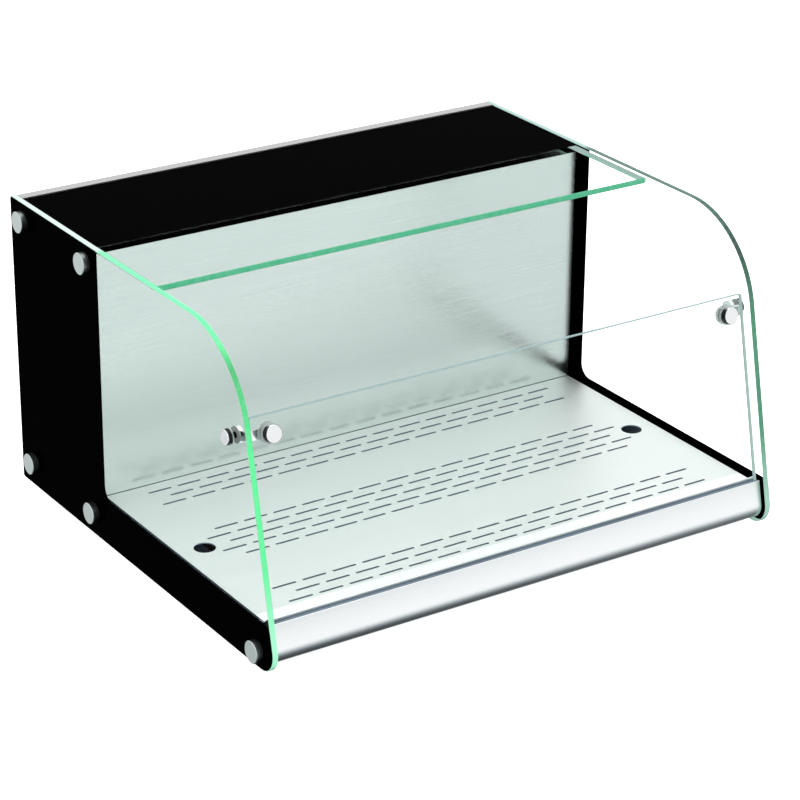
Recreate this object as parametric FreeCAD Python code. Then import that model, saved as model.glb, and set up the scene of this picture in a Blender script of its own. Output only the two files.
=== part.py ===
import FreeCAD, Part
import math
import os

# Countertop hot food display case.  Millimetres, +Z up, the front faces -Y.
# The origin is on the surface the case stands on, in the middle of its width and depth.
#
# Places are given as (x, s, h): x from the middle plane, s forward from the rear edge of the
# side glass, and h up from the lower edge of the side glass.

V = FreeCAD.Vector

# ---- driving dimensions -------------------------------------------------------------------
WIDTH = 600.0            # over the two side glasses
DEPTH = 522.0            # rear edge of the side glass to the front of its nose
GLASS_HEIGHT = 320.0     # side glass, lower edge to top edge
GLASS_T = 6.0            # side and top glass
PANE_T = 5.0             # front pane
GROUND_GAP = 8.0         # lower edge of the side glass above the worktop
TILT = 12.0              # lean of the glass front edge and the pane, degrees from upright

NOSE_R = 22.0            # rounded lower front corner of the side glass
CROWN_R = 108.0          # large curve at the upper front
REAR_CORNER_R = 3.0
EDGE_CHAMFER = 0.6       # ground arris on every glass edge

COMPARTMENT_S = 176.0    # front face of the back wall
BORDER_S = 191.0         # front edge of the printed black border
BORDER_H = 51.0          # top edge of the black band along the bottom
BORDER_INSET = 0.8
BORDER_CORNER_R = 15.0
BORDER_NOSE_R = 8.0
PRINT_T = 0.3            # enamel film
DECK_H = 46.0            # top face of the perforated deck
DECK_T = 1.2
DECK_FRONT_S = 494.0
TOP_GLASS_S = (7.0, 300.0)
TOP_GLASS_H = (312.0, 318.0)
TOP_BEAD = 1.2           # clear bead between the top glass and each side glass

CAP_R = 11.5             # round caps that clamp the side glass
CAP_LENGTH = 7.0
CAP_CHAMFER = 0.9
STUD_R = 3.0
NUT_R = 5.0
NUT_LENGTH = 7.0
THREAD_GAP = 0.05         # radial room round every stud and shaft
CAP_POINTS = [(29.0, 300.0), (166.0, 300.0), (29.0, 27.0), (166.0, 26.0), (494.0, 18.0)]

CONNECTOR_H = 226.0      # height of the corner connectors between pane and side glass
CONNECTOR_LEG = 24.0     # from the glass corner to each bolt
CONNECTOR_BOLT_R = 9.0

SLOT_LENGTH = 27.0
SLOT_WIDTH = 3.0
SLOT_PITCH = 34.1
ROW_PITCH = 15.5
LONG_ROW = 15            # slots in a long row; the rows between have one slot fewer
ROW_GROUPS = [(209.0, 3, True), (331.0, 5, False), (456.0, 3, True)]   # middle, rows, long row first
FINGER_HOLE_R = 11.2
FINGER_HOLE_X = 264.0
FINGER_HOLE_S = 331.0

RAIL_S = (4.0, 16.0)     # bright angle along the rear top edge
REAR_PANEL_S = 22.0      # outer face of the rear service panel, sunk between the side glasses
CONTROL_H = 205.0
KNOB_X = -190.0
ROCKER_X = -120.0
LAMP_X = -80.0
RESET_X = -45.0
INLET_X = 215.0
INLET_H = 62.0

BLOWER_S = 132.0
BLOWER_H = 46.0
BLOWER_X = (-176.0, 136.0)
IMPELLER_R = 24.0
IMPELLER_BLADES = 24
HEATER_R = 4.0
HEATER_H = 26.0
HEATER_PITCH = 68.0
HEATER_PASSES = 8
BULB_X = (160.0, 220.0)
BULB_R = 3.0
BULB_H = 32.0
BULB_GAP = 9.0           # thermostat bulb forward of the tray's rear wall

# ---- derived sizes -------------------------------------------------------------------------
REAR_Y = DEPTH / 2.0
GLASS_X = (WIDTH / 2.0 - GLASS_T, WIDTH / 2.0)
CHEEK_X = (GLASS_X[0] - 3.0, GLASS_X[0] - 1.0)
GASKET_X = (CHEEK_X[1], GLASS_X[0])
NOSE_CENTRE = (DEPTH - NOSE_R, NOSE_R)
LEAN = math.radians(TILT)
NORMAL = (math.cos(LEAN), math.sin(LEAN))        # out of the leaning front, in (s, h)
UPWARD = (-math.sin(LEAN), math.cos(LEAN))       # up along the leaning front, in (s, h)
FRONT_REACH = NOSE_CENTRE[0] * NORMAL[0] + NOSE_CENTRE[1] * NORMAL[1] + NOSE_R
CROWN_H = GLASS_HEIGHT - CROWN_R
CROWN_CENTRE = ((FRONT_REACH - CROWN_R - CROWN_H * NORMAL[1]) / NORMAL[0], CROWN_H)
PROFILE_INSET = 6.0
PANE_INSET = 8.0
PANE_FOOT_H = 43.5
PANE_TOP_H = 244.5
PANE_X = GLASS_X[0] - 3.2
PANE_CORNER_R = 3.0
CONNECTOR_X = GLASS_X[0] - CONNECTOR_LEG
TOP_GLASS_X = GLASS_X[0] - TOP_BEAD
BEARER_TOP_H = TOP_GLASS_H[0] - 1.5          # the tape under the top glass is 1.5 thick
BODY_X = CHEEK_X[1]


# ---- helpers --------------------------------------------------------------------------------
def place(x, s, h):
    """Point from side offset x, distance forward s and height h."""
    return V(x, REAR_Y - s, GROUND_GAP + h)


def block(x, s, h):
    """Box over three (low, high) ranges."""
    return Part.makeBox(x[1] - x[0], s[1] - s[0], h[1] - h[0], place(x[0], s[1], h[0]))


def rod_x(x, s, h, radius):
    """Cylinder along X over the range x."""
    return Part.makeCylinder(radius, x[1] - x[0], place(x[0], s, h), V(1, 0, 0))


def rod_s(x, s, h, radius):
    """Cylinder along the depth over the range s."""
    return Part.makeCylinder(radius, s[1] - s[0], place(x, s[1], h), V(0, 1, 0))


def rod_h(x, s, h, radius):
    """Upright cylinder over the range h."""
    return Part.makeCylinder(radius, h[1] - h[0], place(x, s, h[0]), V(0, 0, 1))


def mirrored(shape):
    """The same piece on the other side of the middle plane."""
    return shape.mirror(V(0, 0, 0), V(1, 0, 0))


def both_sides(shape):
    """A piece and its mirror image, as separate solids."""
    return [shape, mirrored(shape)]


def side_polygon(points, x):
    """Plate over the range x from corner points in (s, h)."""
    corners = [place(x[0], s, h) for s, h in points]
    wire = Part.makePolygon(corners + corners[:1])
    return Part.Face(wire).extrude(V(x[1] - x[0], 0, 0))


def turned(centre, radius, degrees):
    """Point on a circle in the plane of centre; 0 degrees points along its first axis and 90 up."""
    angle = math.radians(degrees)
    return (centre[0] + radius * math.cos(angle), centre[1] + radius * math.sin(angle))


def front_point(inset, h):
    """Point in (s, h) on the leaning front line, set back square to it by inset."""
    return ((FRONT_REACH - inset - h * NORMAL[1]) / NORMAL[0], h)


def along(origin, up, inward):
    """Point in (s, h) moved up the leaning front and inward square to it."""
    s = origin[0] + up * UPWARD[0] - inward * NORMAL[0]
    h = origin[1] + up * UPWARD[1] - inward * NORMAL[1]
    return (s, h)


def side_wire(pieces, x):
    """Closed wire at x; a piece is two points for a line or three for an arc."""
    edges = []
    for piece in pieces:
        points = [place(x, s, h) for s, h in piece]
        if len(points) == 2:
            edges.append(Part.makeLine(points[0], points[1]))
        else:
            edges.append(Part.Arc(points[0], points[1], points[2]).toShape())
    return Part.Wire(edges)


def glass_outline(inset, x):
    """Outline of the side glass: nose, leaning front, crown, top, and two small rear corners."""
    nose = [turned(NOSE_CENTRE, NOSE_R - inset, a) for a in (-90.0, (TILT - 90.0) / 2.0, TILT)]
    crown = [turned(CROWN_CENTRE, CROWN_R - inset, a) for a in (TILT, (TILT + 90.0) / 2.0, 90.0)]
    corner = REAR_CORNER_R + inset
    upper = (corner, GLASS_HEIGHT - corner)
    lower = (corner, corner)
    top_corner = [turned(upper, REAR_CORNER_R, a) for a in (90.0, 135.0, 180.0)]
    low_corner = [turned(lower, REAR_CORNER_R, a) for a in (180.0, 225.0, 270.0)]
    pieces = [nose, (nose[2], crown[0]), crown, (crown[2], top_corner[0]), top_corner]
    pieces += [(top_corner[2], low_corner[0]), low_corner, (low_corner[2], nose[0])]
    return side_wire(pieces, x)


def edges_at(shape, point, reach=1.0):
    """Edges whose middle lies within reach of a point."""
    found = []
    for edge in shape.Edges:
        middle = edge.valueAt((edge.FirstParameter + edge.LastParameter) / 2.0)
        if middle.distanceToPoint(point) < reach:
            found.append(edge)
    return found


def face_edges(shape, axis, values):
    """Edges that lie whole in a plane square to the axis at one of the values."""
    found = []
    for edge in shape.Edges:
        box = edge.BoundBox
        low = (box.XMin, box.YMin, box.ZMin)[axis]
        high = (box.XMax, box.YMax, box.ZMax)[axis]
        if high - low < 1e-4 and any(abs(low - value) < 1e-3 for value in values):
            found.append(edge)
    return found


def ring_x(x, s, h, radius, hole):
    """Washer along X."""
    return rod_x(x, s, h, radius).cut(rod_x((x[0] - 1.0, x[1] + 1.0), s, h, hole))


def ring_s(x, s, h, radius, hole):
    """Washer along the depth."""
    return rod_s(x, s, h, radius).cut(rod_s(x, (s[0] - 1.0, s[1] + 1.0), h, hole))


def slot_wire(x, s, h, length, width):
    """Flat slot with round ends, long way along X."""
    half = (length - width) / 2.0
    radius = width / 2.0
    left = x - half
    right = x + half
    front = [place(left, s + radius, h), place(right, s + radius, h)]
    rear = [place(right, s - radius, h), place(left, s - radius, h)]
    edges = [
        Part.makeLine(front[0], front[1]),
        Part.Arc(front[1], place(right + radius, s, h), rear[0]).toShape(),
        Part.makeLine(rear[0], rear[1]),
        Part.Arc(rear[1], place(left - radius, s, h), front[0]).toShape(),
    ]
    return Part.Wire(edges)


def leaning(shape, origin):
    """Carries a piece drawn about the origin, -Y out of the pane and Z up it, to a place on the front."""
    shape.rotate(V(0, 0, 0), V(1, 0, 0), -TILT)
    shape.translate(place(0, origin[0], origin[1]))
    return shape


# ---- glass ----------------------------------------------------------------------------------
def side_glass():
    """Right-hand side glass with its bolt holes and ground edges."""
    glass = Part.Face(glass_outline(0.0, GLASS_X[0])).extrude(V(GLASS_T, 0, 0))
    glass = glass.makeChamfer(EDGE_CHAMFER, face_edges(glass, 0, GLASS_X))
    through = (GLASS_X[0] - 1.0, GLASS_X[1] + 1.0)
    for s, h in CAP_POINTS + [connector_side_point()]:
        glass = glass.cut(rod_x(through, s, h, STUD_R + 1.2))
    return glass


def border_print():
    """Black enamel border on the right-hand side glass: rear field and a band along the bottom."""
    x = (GLASS_X[1], GLASS_X[1] + PRINT_T)
    film = Part.Face(glass_outline(BORDER_INSET, x[0])).extrude(V(PRINT_T, 0, 0))
    film = film.cut(block((x[0] - 1.0, x[1] + 1.0), (BORDER_S, DEPTH), (BORDER_H, GLASS_HEIGHT)))
    middle_x = (x[0] + x[1]) / 2.0
    front = front_point(BORDER_INSET, BORDER_H)
    film = film.makeFillet(BORDER_CORNER_R, edges_at(film, place(middle_x, BORDER_S, BORDER_H)))
    film = film.makeFillet(BORDER_NOSE_R, edges_at(film, place(middle_x, front[0], front[1])))
    for s, h in CAP_POINTS:
        film = film.cut(rod_x((x[0] - 1.0, x[1] + 1.0), s, h, STUD_R + 1.2))
    return film


def top_glass():
    """Flat top glass that reaches forward over the food."""
    glass = block((-TOP_GLASS_X, TOP_GLASS_X), TOP_GLASS_S, TOP_GLASS_H)
    heights = [GROUND_GAP + h for h in TOP_GLASS_H]
    return glass.makeChamfer(EDGE_CHAMFER, face_edges(glass, 2, heights))


def front_pane():
    """Low front pane, leaning back, with rounded upper corners and two bolt holes."""
    foot = along_front(PANE_FOOT_H)
    length = (PANE_TOP_H - PANE_FOOT_H) / math.cos(LEAN)
    pane = Part.makeBox(2 * PANE_X, PANE_T, length, V(-PANE_X, 0, 0))
    corners = []
    for x in (-PANE_X, PANE_X):
        corners += edges_at(pane, V(x, PANE_T / 2.0, length))
    pane = pane.makeFillet(PANE_CORNER_R, corners)
    pane = pane.makeChamfer(EDGE_CHAMFER / 2.0, face_edges(pane, 1, (0.0, PANE_T)))
    rise = (CONNECTOR_H - PANE_FOOT_H) / math.cos(LEAN)
    for x in (-CONNECTOR_X, CONNECTOR_X):
        pane = pane.cut(Part.makeCylinder(STUD_R + 0.8, PANE_T + 2.0, V(x, -1.0, rise), V(0, 1, 0)))
    return leaning(pane, foot)


def along_front(h):
    """Point in (s, h) on the outer face of the pane."""
    return front_point(PANE_INSET, h)


def connector_side_point():
    """Bolt place on the side glass, square behind the pane at the connector's height."""
    return along(along_front(CONNECTOR_H), 0.0, CONNECTOR_LEG)


def silicone_seams():
    """Clear beads that bond the top glass to the side glasses."""
    bead = block((TOP_GLASS_X, GLASS_X[0]), TOP_GLASS_S, (TOP_GLASS_H[0] + 1.0, TOP_GLASS_H[1] - 1.0))
    return Part.makeCompound(both_sides(bead))


def top_print():
    """Black enamel field on the top glass, over the service compartment."""
    s = (TOP_GLASS_S[0] + BORDER_INSET, COMPARTMENT_S)
    half = TOP_GLASS_X - BORDER_INSET
    return block((-half, half), s, (TOP_GLASS_H[1], TOP_GLASS_H[1] + PRINT_T))


# ---- point fixings --------------------------------------------------------------------------
def cap_bolt(s, h):
    """Round cap with its stud, on the right-hand side."""
    base = GLASS_X[1] + PRINT_T + 0.7
    cap = rod_x((base, base + CAP_LENGTH), s, h, CAP_R)
    cap = cap.makeChamfer(CAP_CHAMFER, face_edges(cap, 0, (base + CAP_LENGTH,)))
    return cap.fuse(rod_x((CHEEK_X[0] - NUT_LENGTH, base), s, h, STUD_R)).removeSplitter()


def cap_bolts():
    """The five caps on the right-hand side glass."""
    return [cap_bolt(s, h) for s, h in CAP_POINTS]


def cap_washers():
    """Thin washers between every cap and the printed glass."""
    x = (GLASS_X[1] + PRINT_T, GLASS_X[1] + PRINT_T + 0.7)
    rings = [ring_x(x, s, h, CAP_R - 1.0, STUD_R + 0.2) for s, h in CAP_POINTS]
    return Part.makeCompound(rings + [mirrored(ring) for ring in rings])


def glass_gaskets():
    """Soft pads between the side glass and the steel frame behind it."""
    rings = [ring_x(GASKET_X, s, h, CAP_R / 2.0, STUD_R + 0.2) for s, h in CAP_POINTS]
    return Part.makeCompound(rings + [mirrored(ring) for ring in rings])


# ---- corner connectors ----------------------------------------------------------------------
ARM_T = 4.0
ARM_HALF_HEIGHT = 5.0
WASHER_T = 0.8
SIDE_CAP_LENGTH = 5.0


def connector_arm():
    """Right-angled arm behind the pane with a round pad at each bolt, right-hand side."""
    inner = PANE_T + WASHER_T
    side = (GLASS_X[0] - WASHER_T - ARM_T, GLASS_X[0] - WASHER_T)
    low = -ARM_HALF_HEIGHT
    pad_r = CONNECTOR_BOLT_R - 0.5
    bore_r = STUD_R + THREAD_GAP
    pane_leg = Part.makeBox(side[1] - CONNECTOR_X, ARM_T, 2 * ARM_HALF_HEIGHT, V(CONNECTOR_X, inner, low))
    side_leg = Part.makeBox(ARM_T, CONNECTOR_LEG - inner, 2 * ARM_HALF_HEIGHT, V(side[0], inner, low))
    pane_pad = Part.makeCylinder(pad_r, ARM_T, V(CONNECTOR_X, inner, 0), V(0, 1, 0))
    side_pad = Part.makeCylinder(pad_r, ARM_T, V(side[0], CONNECTOR_LEG, 0), V(1, 0, 0))
    pane_bore = Part.makeCylinder(bore_r, ARM_T + 2.0, V(CONNECTOR_X, inner - 1.0, 0), V(0, 1, 0))
    side_bore = Part.makeCylinder(bore_r, ARM_T + 2.0, V(side[0] - 1.0, CONNECTOR_LEG, 0), V(1, 0, 0))
    arm = pane_leg.fuse([side_leg, pane_pad, side_pad]).cut([pane_bore, side_bore]).removeSplitter()
    return leaning(arm, along_front(CONNECTOR_H))


def pane_bolt():
    """Polished button bolt on the front of the pane, right-hand side."""
    length = 6.5
    head = Part.makeCylinder(CONNECTOR_BOLT_R, length, V(CONNECTOR_X, -WASHER_T - length, 0), V(0, 1, 0))
    head = head.makeChamfer(CAP_CHAMFER, face_edges(head, 1, (-WASHER_T - length,)))
    shank = Part.makeCylinder(STUD_R, PANE_T + 2 * WASHER_T + ARM_T, V(CONNECTOR_X, -WASHER_T, 0), V(0, 1, 0))
    return leaning(head.fuse(shank).removeSplitter(), along_front(CONNECTOR_H))


def side_bolt():
    """Smaller button bolt on the outside of the side glass, right-hand side."""
    base = GLASS_X[1] + WASHER_T
    s, h = connector_side_point()
    head = rod_x((base, base + SIDE_CAP_LENGTH), s, h, CONNECTOR_BOLT_R - 1.0)
    head = head.makeChamfer(CAP_CHAMFER, face_edges(head, 0, (base + SIDE_CAP_LENGTH,)))
    shank = rod_x((GLASS_X[0] - WASHER_T - ARM_T, base), s, h, STUD_R)
    return head.fuse(shank).removeSplitter()


def connector_washers():
    """Clear washers on both faces of both glasses, right-hand side."""
    outer = CONNECTOR_BOLT_R + 1.5
    rings = []
    for start in (-WASHER_T, PANE_T):
        ring = Part.makeCylinder(outer, WASHER_T, V(CONNECTOR_X, start, 0), V(0, 1, 0))
        hole = Part.makeCylinder(STUD_R + 0.2, WASHER_T + 2.0, V(CONNECTOR_X, start - 1.0, 0), V(0, 1, 0))
        rings.append(leaning(ring.cut(hole), along_front(CONNECTOR_H)))
    s, h = connector_side_point()
    for start in (GLASS_X[0] - WASHER_T, GLASS_X[1]):
        rings.append(ring_x((start, start + WASHER_T), s, h, CONNECTOR_BOLT_R - 0.5, STUD_R + 0.2))
    return rings


# ---- front profile and pane seal ------------------------------------------------------------
CHANNEL_CLEAR = 0.8
LIP_H = 50.0
PROFILE_REAR_S = 485.0
PROFILE_FOOT_H = 6.0
RAMP_TOP_H = 51.5
LEDGE_H = DECK_H - DECK_T
PORT_R = 6.0


def channel(x, front_gap, rear_gap, low, high):
    """Leaning slot that holds the foot of the pane, with the given room before and behind it."""
    start = along_front(low)
    length = (high - low) / math.cos(LEAN)
    points = [along(start, 0.0, -front_gap), along(start, length, -front_gap)]
    points += [along(start, length, PANE_T + rear_gap), along(start, 0.0, PANE_T + rear_gap)]
    return side_polygon(points, x)


def front_profile():
    """Hollow aluminium extrusion between the side glasses, with a round nose and screw ports."""
    half = BODY_X
    arc = [turned(NOSE_CENTRE, NOSE_R - PROFILE_INSET, a) for a in (-90.0, (TILT - 90.0) / 2.0, TILT)]
    lip = front_point(PROFILE_INSET, LIP_H)
    foot = (PROFILE_REAR_S, PROFILE_FOOT_H)
    inner_lip = (along(along_front(RAMP_TOP_H), 0.0, PANE_T + CHANNEL_CLEAR)[0], RAMP_TOP_H)
    crest = (inner_lip[0] - 1.5, RAMP_TOP_H)
    ramp_foot = (DECK_FRONT_S + 0.5, DECK_H)
    ledge = [(ramp_foot[0], LEDGE_H), (PROFILE_REAR_S, LEDGE_H)]
    corners = [arc[2], lip, inner_lip, crest, ramp_foot, ledge[0], ledge[1], foot]
    pieces = [(foot, arc[0]), arc] + list(zip(corners[:-1], corners[1:]))
    profile = Part.Face(side_wire(pieces, -half)).extrude(V(2 * half, 0, 0))
    x = (-half - 1.0, half + 1.0)
    profile = profile.cut(channel(x, CHANNEL_CLEAR, CHANNEL_CLEAR, PANE_FOOT_H - 1.0, GLASS_HEIGHT / 2.0))
    wall = 2.0
    low = PROFILE_FOOT_H + wall
    bend = [turned(NOSE_CENTRE, NOSE_R - PROFILE_INSET - wall, a) for a in (-90.0, (TILT - 90.0) / 2.0, TILT)]
    roof = PANE_FOOT_H - 1.0 - 2 * wall
    front = front_point(PROFILE_INSET + wall, roof)
    back = PROFILE_REAR_S + wall
    hollow = [((back, low), bend[0]), bend, (bend[2], front)]
    hollow += [(front, (back, roof)), ((back, roof), (back, low))]
    profile = profile.cut(Part.Face(side_wire(hollow, x[0])).extrude(V(x[1] - x[0], 0, 0)))
    port_s, port_h = CAP_POINTS[4]
    port = rod_x((-half, half), port_s, port_h, PORT_R)
    port_web = block((-half, half), (port_s - PORT_R - 3.5, port_s), (port_h - 1.5, port_h + 1.5))
    port_foot = block((-half, half), (port_s - 1.5, port_s + 1.5), (PROFILE_FOOT_H + 1.0, port_h))
    profile = profile.fuse([port, port_web, port_foot])
    return profile.cut(rod_x(x, port_s, port_h, STUD_R + THREAD_GAP)).removeSplitter()


def pane_gasket():
    """Black channel seal round the foot of the pane."""
    x = (-PANE_X, PANE_X)
    seal = channel(x, CHANNEL_CLEAR, CHANNEL_CLEAR, PANE_FOOT_H - 1.0, LIP_H + 1.0)
    room = channel((x[0] - 1.0, x[1] + 1.0), 0.0, 0.0, PANE_FOOT_H, GLASS_HEIGHT / 2.0)
    return seal.cut(room)


# ---- casing ---------------------------------------------------------------------------------
SHEET_T = 1.0
RAIL_T = 2.0
FRAME_REAR_S = 14.0      # rear edge of the cheeks, the bearer and the bottom sheet
WALL_FLANGE = 14.0       # depth of the flange at the top of the back wall
BASE_H = (4.0, 5.5)
BASE_X = 290.5
TRAY_X = 288.5
TRAY_S = (COMPARTMENT_S + 1.2, 483.0)
TRAY_H = (12.0, LEDGE_H)
OUTLET_X = (-168.0, 128.0)
OUTLET_H = (18.0, 36.0)
FLANGE_X = CHEEK_X[0] - NUT_LENGTH - 2.0     # inner flanges stop short of the welded nuts


def cheek():
    """Steel side plate of the service compartment, right-hand side, with welded nuts."""
    plate = block(CHEEK_X, (FRAME_REAR_S, COMPARTMENT_S - SHEET_T), (PROFILE_FOOT_H, BEARER_TOP_H - 1.5))
    nuts = [rod_x((CHEEK_X[0] - NUT_LENGTH, CHEEK_X[0]), s, h, NUT_R) for s, h in CAP_POINTS[:4]]
    plate = plate.fuse(nuts)
    for s, h in CAP_POINTS[:4]:
        plate = plate.cut(rod_x((CHEEK_X[0] - NUT_LENGTH - 1.0, CHEEK_X[1] + 1.0), s, h, STUD_R + THREAD_GAP))
    return plate.removeSplitter()


def back_wall():
    """Brushed stainless back wall with a top flange and the warm air outlet low down."""
    sheet_h = (BEARER_TOP_H - SHEET_T, BEARER_TOP_H)
    wall = block((-BODY_X, BODY_X), (COMPARTMENT_S - SHEET_T, COMPARTMENT_S), (BASE_H[1] + 0.5, BEARER_TOP_H))
    flange = block((-FLANGE_X, FLANGE_X), (COMPARTMENT_S - WALL_FLANGE, COMPARTMENT_S), sheet_h)
    wall = wall.fuse(flange)
    through = (COMPARTMENT_S - 3.0, COMPARTMENT_S + 3.0)
    outlet = block(OUTLET_X, through, OUTLET_H)
    ends = [rod_s(x, through, HEATER_H, HEATER_R + 0.3) for x in heater_end_x()]
    return wall.cut([outlet] + ends).removeSplitter()


def wall_insulation():
    """Mineral wool slab behind the back wall, above the blower."""
    x = (-CHEEK_X[0] + 12.0, CHEEK_X[0] - 12.0)
    return block(x, (COMPARTMENT_S - SHEET_T - 20.0, COMPARTMENT_S - SHEET_T), (92.0, 295.0))


def top_bearer():
    """Steel sheet that carries the rear of the top glass."""
    front = COMPARTMENT_S - WALL_FLANGE - 0.5
    x = (-FLANGE_X, FLANGE_X)
    sheet = block(x, (FRAME_REAR_S, front), (BEARER_TOP_H - SHEET_T, BEARER_TOP_H))
    lip = block(x, (front - SHEET_T, front), (BEARER_TOP_H - 8.5, BEARER_TOP_H))
    return sheet.fuse(lip).removeSplitter()


def bonding_tape():
    """Two foam tape strips under the top glass."""
    half = CHEEK_X[0] - 10.0
    strips = []
    for s in (26.0, 130.0):
        strips.append(block((-half, half), (s, s + 20.0), (BEARER_TOP_H, TOP_GLASS_H[0])))
    return Part.makeCompound(strips)


def rear_rail():
    """Bright aluminium angle over the rear edge of the top glass, with a foot inside the casing."""
    x = (-GLASS_X[0] + 0.3, GLASS_X[0] - 0.3)
    upright = block(x, (RAIL_S[0], RAIL_S[0] + RAIL_T), (288.0, GLASS_HEIGHT))
    flange = block(x, RAIL_S, (TOP_GLASS_H[1] + PRINT_T, GLASS_HEIGHT))
    half = CHEEK_X[0] - 1.0
    foot = block((-half, half), (RAIL_S[0], FRAME_REAR_S - 0.5), (303.0, 303.0 + RAIL_T))
    return upright.fuse([flange, foot]).removeSplitter()


def chassis_base():
    """Bottom sheet with upturned sides and intake slots under the service compartment."""
    front = PROFILE_REAR_S - 0.5
    base = block((-BASE_X, BASE_X), (FRAME_REAR_S, front), BASE_H)
    upturn = block((BASE_X - SHEET_T, BASE_X), (COMPARTMENT_S + 1.0, front), (BASE_H[0], 40.0))
    base = base.fuse(both_sides(upturn))
    slots = []
    for row in range(4):
        for column in range(9):
            x = (column - 4) * 46.0
            wire = slot_wire(x, 50.0 + row * 16.0, BASE_H[0] - 1.0, 34.0, 4.0)
            slots.append(Part.Face(wire).extrude(V(0, 0, 4.0)))
    for s in FOOT_S:
        slots += both_sides(rod_h(FOOT_X, s, (0.0, 9.0), 2.2))
    return base.cut(Part.makeCompound(slots)).removeSplitter()


def base_insulation():
    """Insulation mat between the bottom sheet and the heater tray."""
    return block((-TRAY_X + 3.0, TRAY_X - 3.0), (TRAY_S[0] + 4.0, TRAY_S[1] - 4.0), (BASE_H[1], TRAY_H[0]))


def plenum_tray():
    """Open stainless tray under the deck, with a rim that carries it."""
    outer = block((-TRAY_X, TRAY_X), TRAY_S, TRAY_H)
    inner_x = (-TRAY_X + SHEET_T, TRAY_X - SHEET_T)
    inner_s = (TRAY_S[0] + SHEET_T, TRAY_S[1] - SHEET_T)
    inner = block(inner_x, inner_s, (TRAY_H[0] + SHEET_T, TRAY_H[1] + 1.0))
    rims = both_sides(block((TRAY_X - SHEET_T, 292.0), TRAY_S, (TRAY_H[1] - SHEET_T, TRAY_H[1])))
    tray = outer.cut(inner).fuse(rims)
    through = (TRAY_S[0] - 1.0, TRAY_S[0] + 2.0)
    outlet = block(OUTLET_X, through, OUTLET_H)
    ends = [rod_s(x, through, HEATER_H, HEATER_R + 0.3) for x in heater_end_x()]
    return tray.cut([outlet] + ends).removeSplitter()


def deck_plate():
    """Perforated lift-out deck with finger holes and a locating skirt."""
    x = BODY_X - 0.7
    s = (COMPARTMENT_S + 1.0, DECK_FRONT_S)
    low = DECK_H - DECK_T
    corners = [place(-x, s[0], low), place(x, s[0], low), place(x, s[1], low), place(-x, s[1], low)]
    wires = [Part.makePolygon(corners + corners[:1])]
    for centre, rows, long_first in ROW_GROUPS:
        for row in range(rows):
            long_row = (row % 2 == 0) == long_first
            count = LONG_ROW if long_row else LONG_ROW - 1
            row_s = centre + (row - (rows - 1) / 2.0) * ROW_PITCH
            for index in range(count):
                slot_x = (index - (count - 1) / 2.0) * SLOT_PITCH
                wires.append(slot_wire(slot_x, row_s, low, SLOT_LENGTH, SLOT_WIDTH))
    for hole_x in (-FINGER_HOLE_X, FINGER_HOLE_X):
        circle = Part.makeCircle(FINGER_HOLE_R, place(hole_x, FINGER_HOLE_S, low), V(0, 0, 1))
        wires.append(Part.Wire(circle))
    plate = Part.makeFace(wires, "Part::FaceMakerBullseye").extrude(V(0, 0, DECK_T))
    skirt_x = TRAY_X - SHEET_T - 2.0
    skirt_s = (TRAY_S[0] + SHEET_T + 2.0, TRAY_S[1] - SHEET_T - 2.0)
    outer = block((-skirt_x, skirt_x), skirt_s, (low - 7.0, low))
    inner_x = (-skirt_x + DECK_T, skirt_x - DECK_T)
    inner = block(inner_x, (skirt_s[0] + DECK_T, skirt_s[1] - DECK_T), (low - 8.0, low + 1.0))
    return plate.fuse(outer.cut(inner)).removeSplitter()


# ---- heating --------------------------------------------------------------------------------
def heater_end_x():
    """Side offsets of the heater's two ends."""
    half = (HEATER_PASSES - 1) * HEATER_PITCH / 2.0
    return (-half, half)


def heater_element():
    """Tubular heater bent back and forth, with both ends through the back wall."""
    near = 236.0
    far = 434.0
    bend = HEATER_PITCH / 2.0
    first = heater_end_x()[0]
    edges = []
    tail = COMPARTMENT_S - 16.0
    position = place(first, tail, HEATER_H)
    for index in range(HEATER_PASSES):
        x = first + index * HEATER_PITCH
        forward = index % 2 == 0
        last = index == HEATER_PASSES - 1
        end_s = far if forward else near
        if last:
            end_s = tail
        corner = place(x, end_s, HEATER_H)
        edges.append(Part.makeLine(position, corner))
        if not last:
            reach = bend if forward else -bend
            middle = place(x + bend, end_s + reach, HEATER_H)
            position = place(x + HEATER_PITCH, end_s, HEATER_H)
            edges.append(Part.Arc(corner, middle, position).toShape())
    path = Part.Wire(edges)
    section = Part.Wire(Part.makeCircle(HEATER_R, place(first, tail, HEATER_H), V(0, 1, 0)))
    tube = path.makePipeShell([section], True, False)
    pins = [rod_s(x, (tail - 12.0, tail), HEATER_H, 1.5) for x in heater_end_x()]
    return tube.fuse(pins)


def heater_supports():
    """Two upright strips in the tray that the heater rests on."""
    strips = []
    for s in (270.0, 400.0):
        strips.append(block((-262.0, 262.0), (s, s + 2.0), (TRAY_H[0] + SHEET_T, HEATER_H - HEATER_R)))
    return Part.makeCompound(strips)


def blower_housing():
    """Casing of the crossflow blower, open at the rear and towards the tray."""
    s = (98.0, COMPARTMENT_S - SHEET_T)
    h = (14.0, 84.0)
    casing = block(BLOWER_X, s, h)
    inside = block((BLOWER_X[0] + 2.0, BLOWER_X[1] - 2.0), (s[0] + 1.5, s[1] + 1.0), (h[0] + 1.5, h[1] - 1.5))
    wall = block((BLOWER_X[0] + 1.0, BLOWER_X[1] - 1.0), (s[1] - 1.5, s[1]), (OUTLET_H[1], h[1] - 1.0))
    intake = block((OUTLET_X[0], OUTLET_X[1]), (s[0] - 1.0, s[0] + 2.0), (h[0] + 10.0, h[1] - 12.0))
    bore = rod_x((BLOWER_X[0] - 5.0, BLOWER_X[1] + 5.0), BLOWER_S, BLOWER_H, STUD_R + THREAD_GAP)
    return casing.cut(inside).fuse(wall).cut([intake, bore]).removeSplitter()


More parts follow.
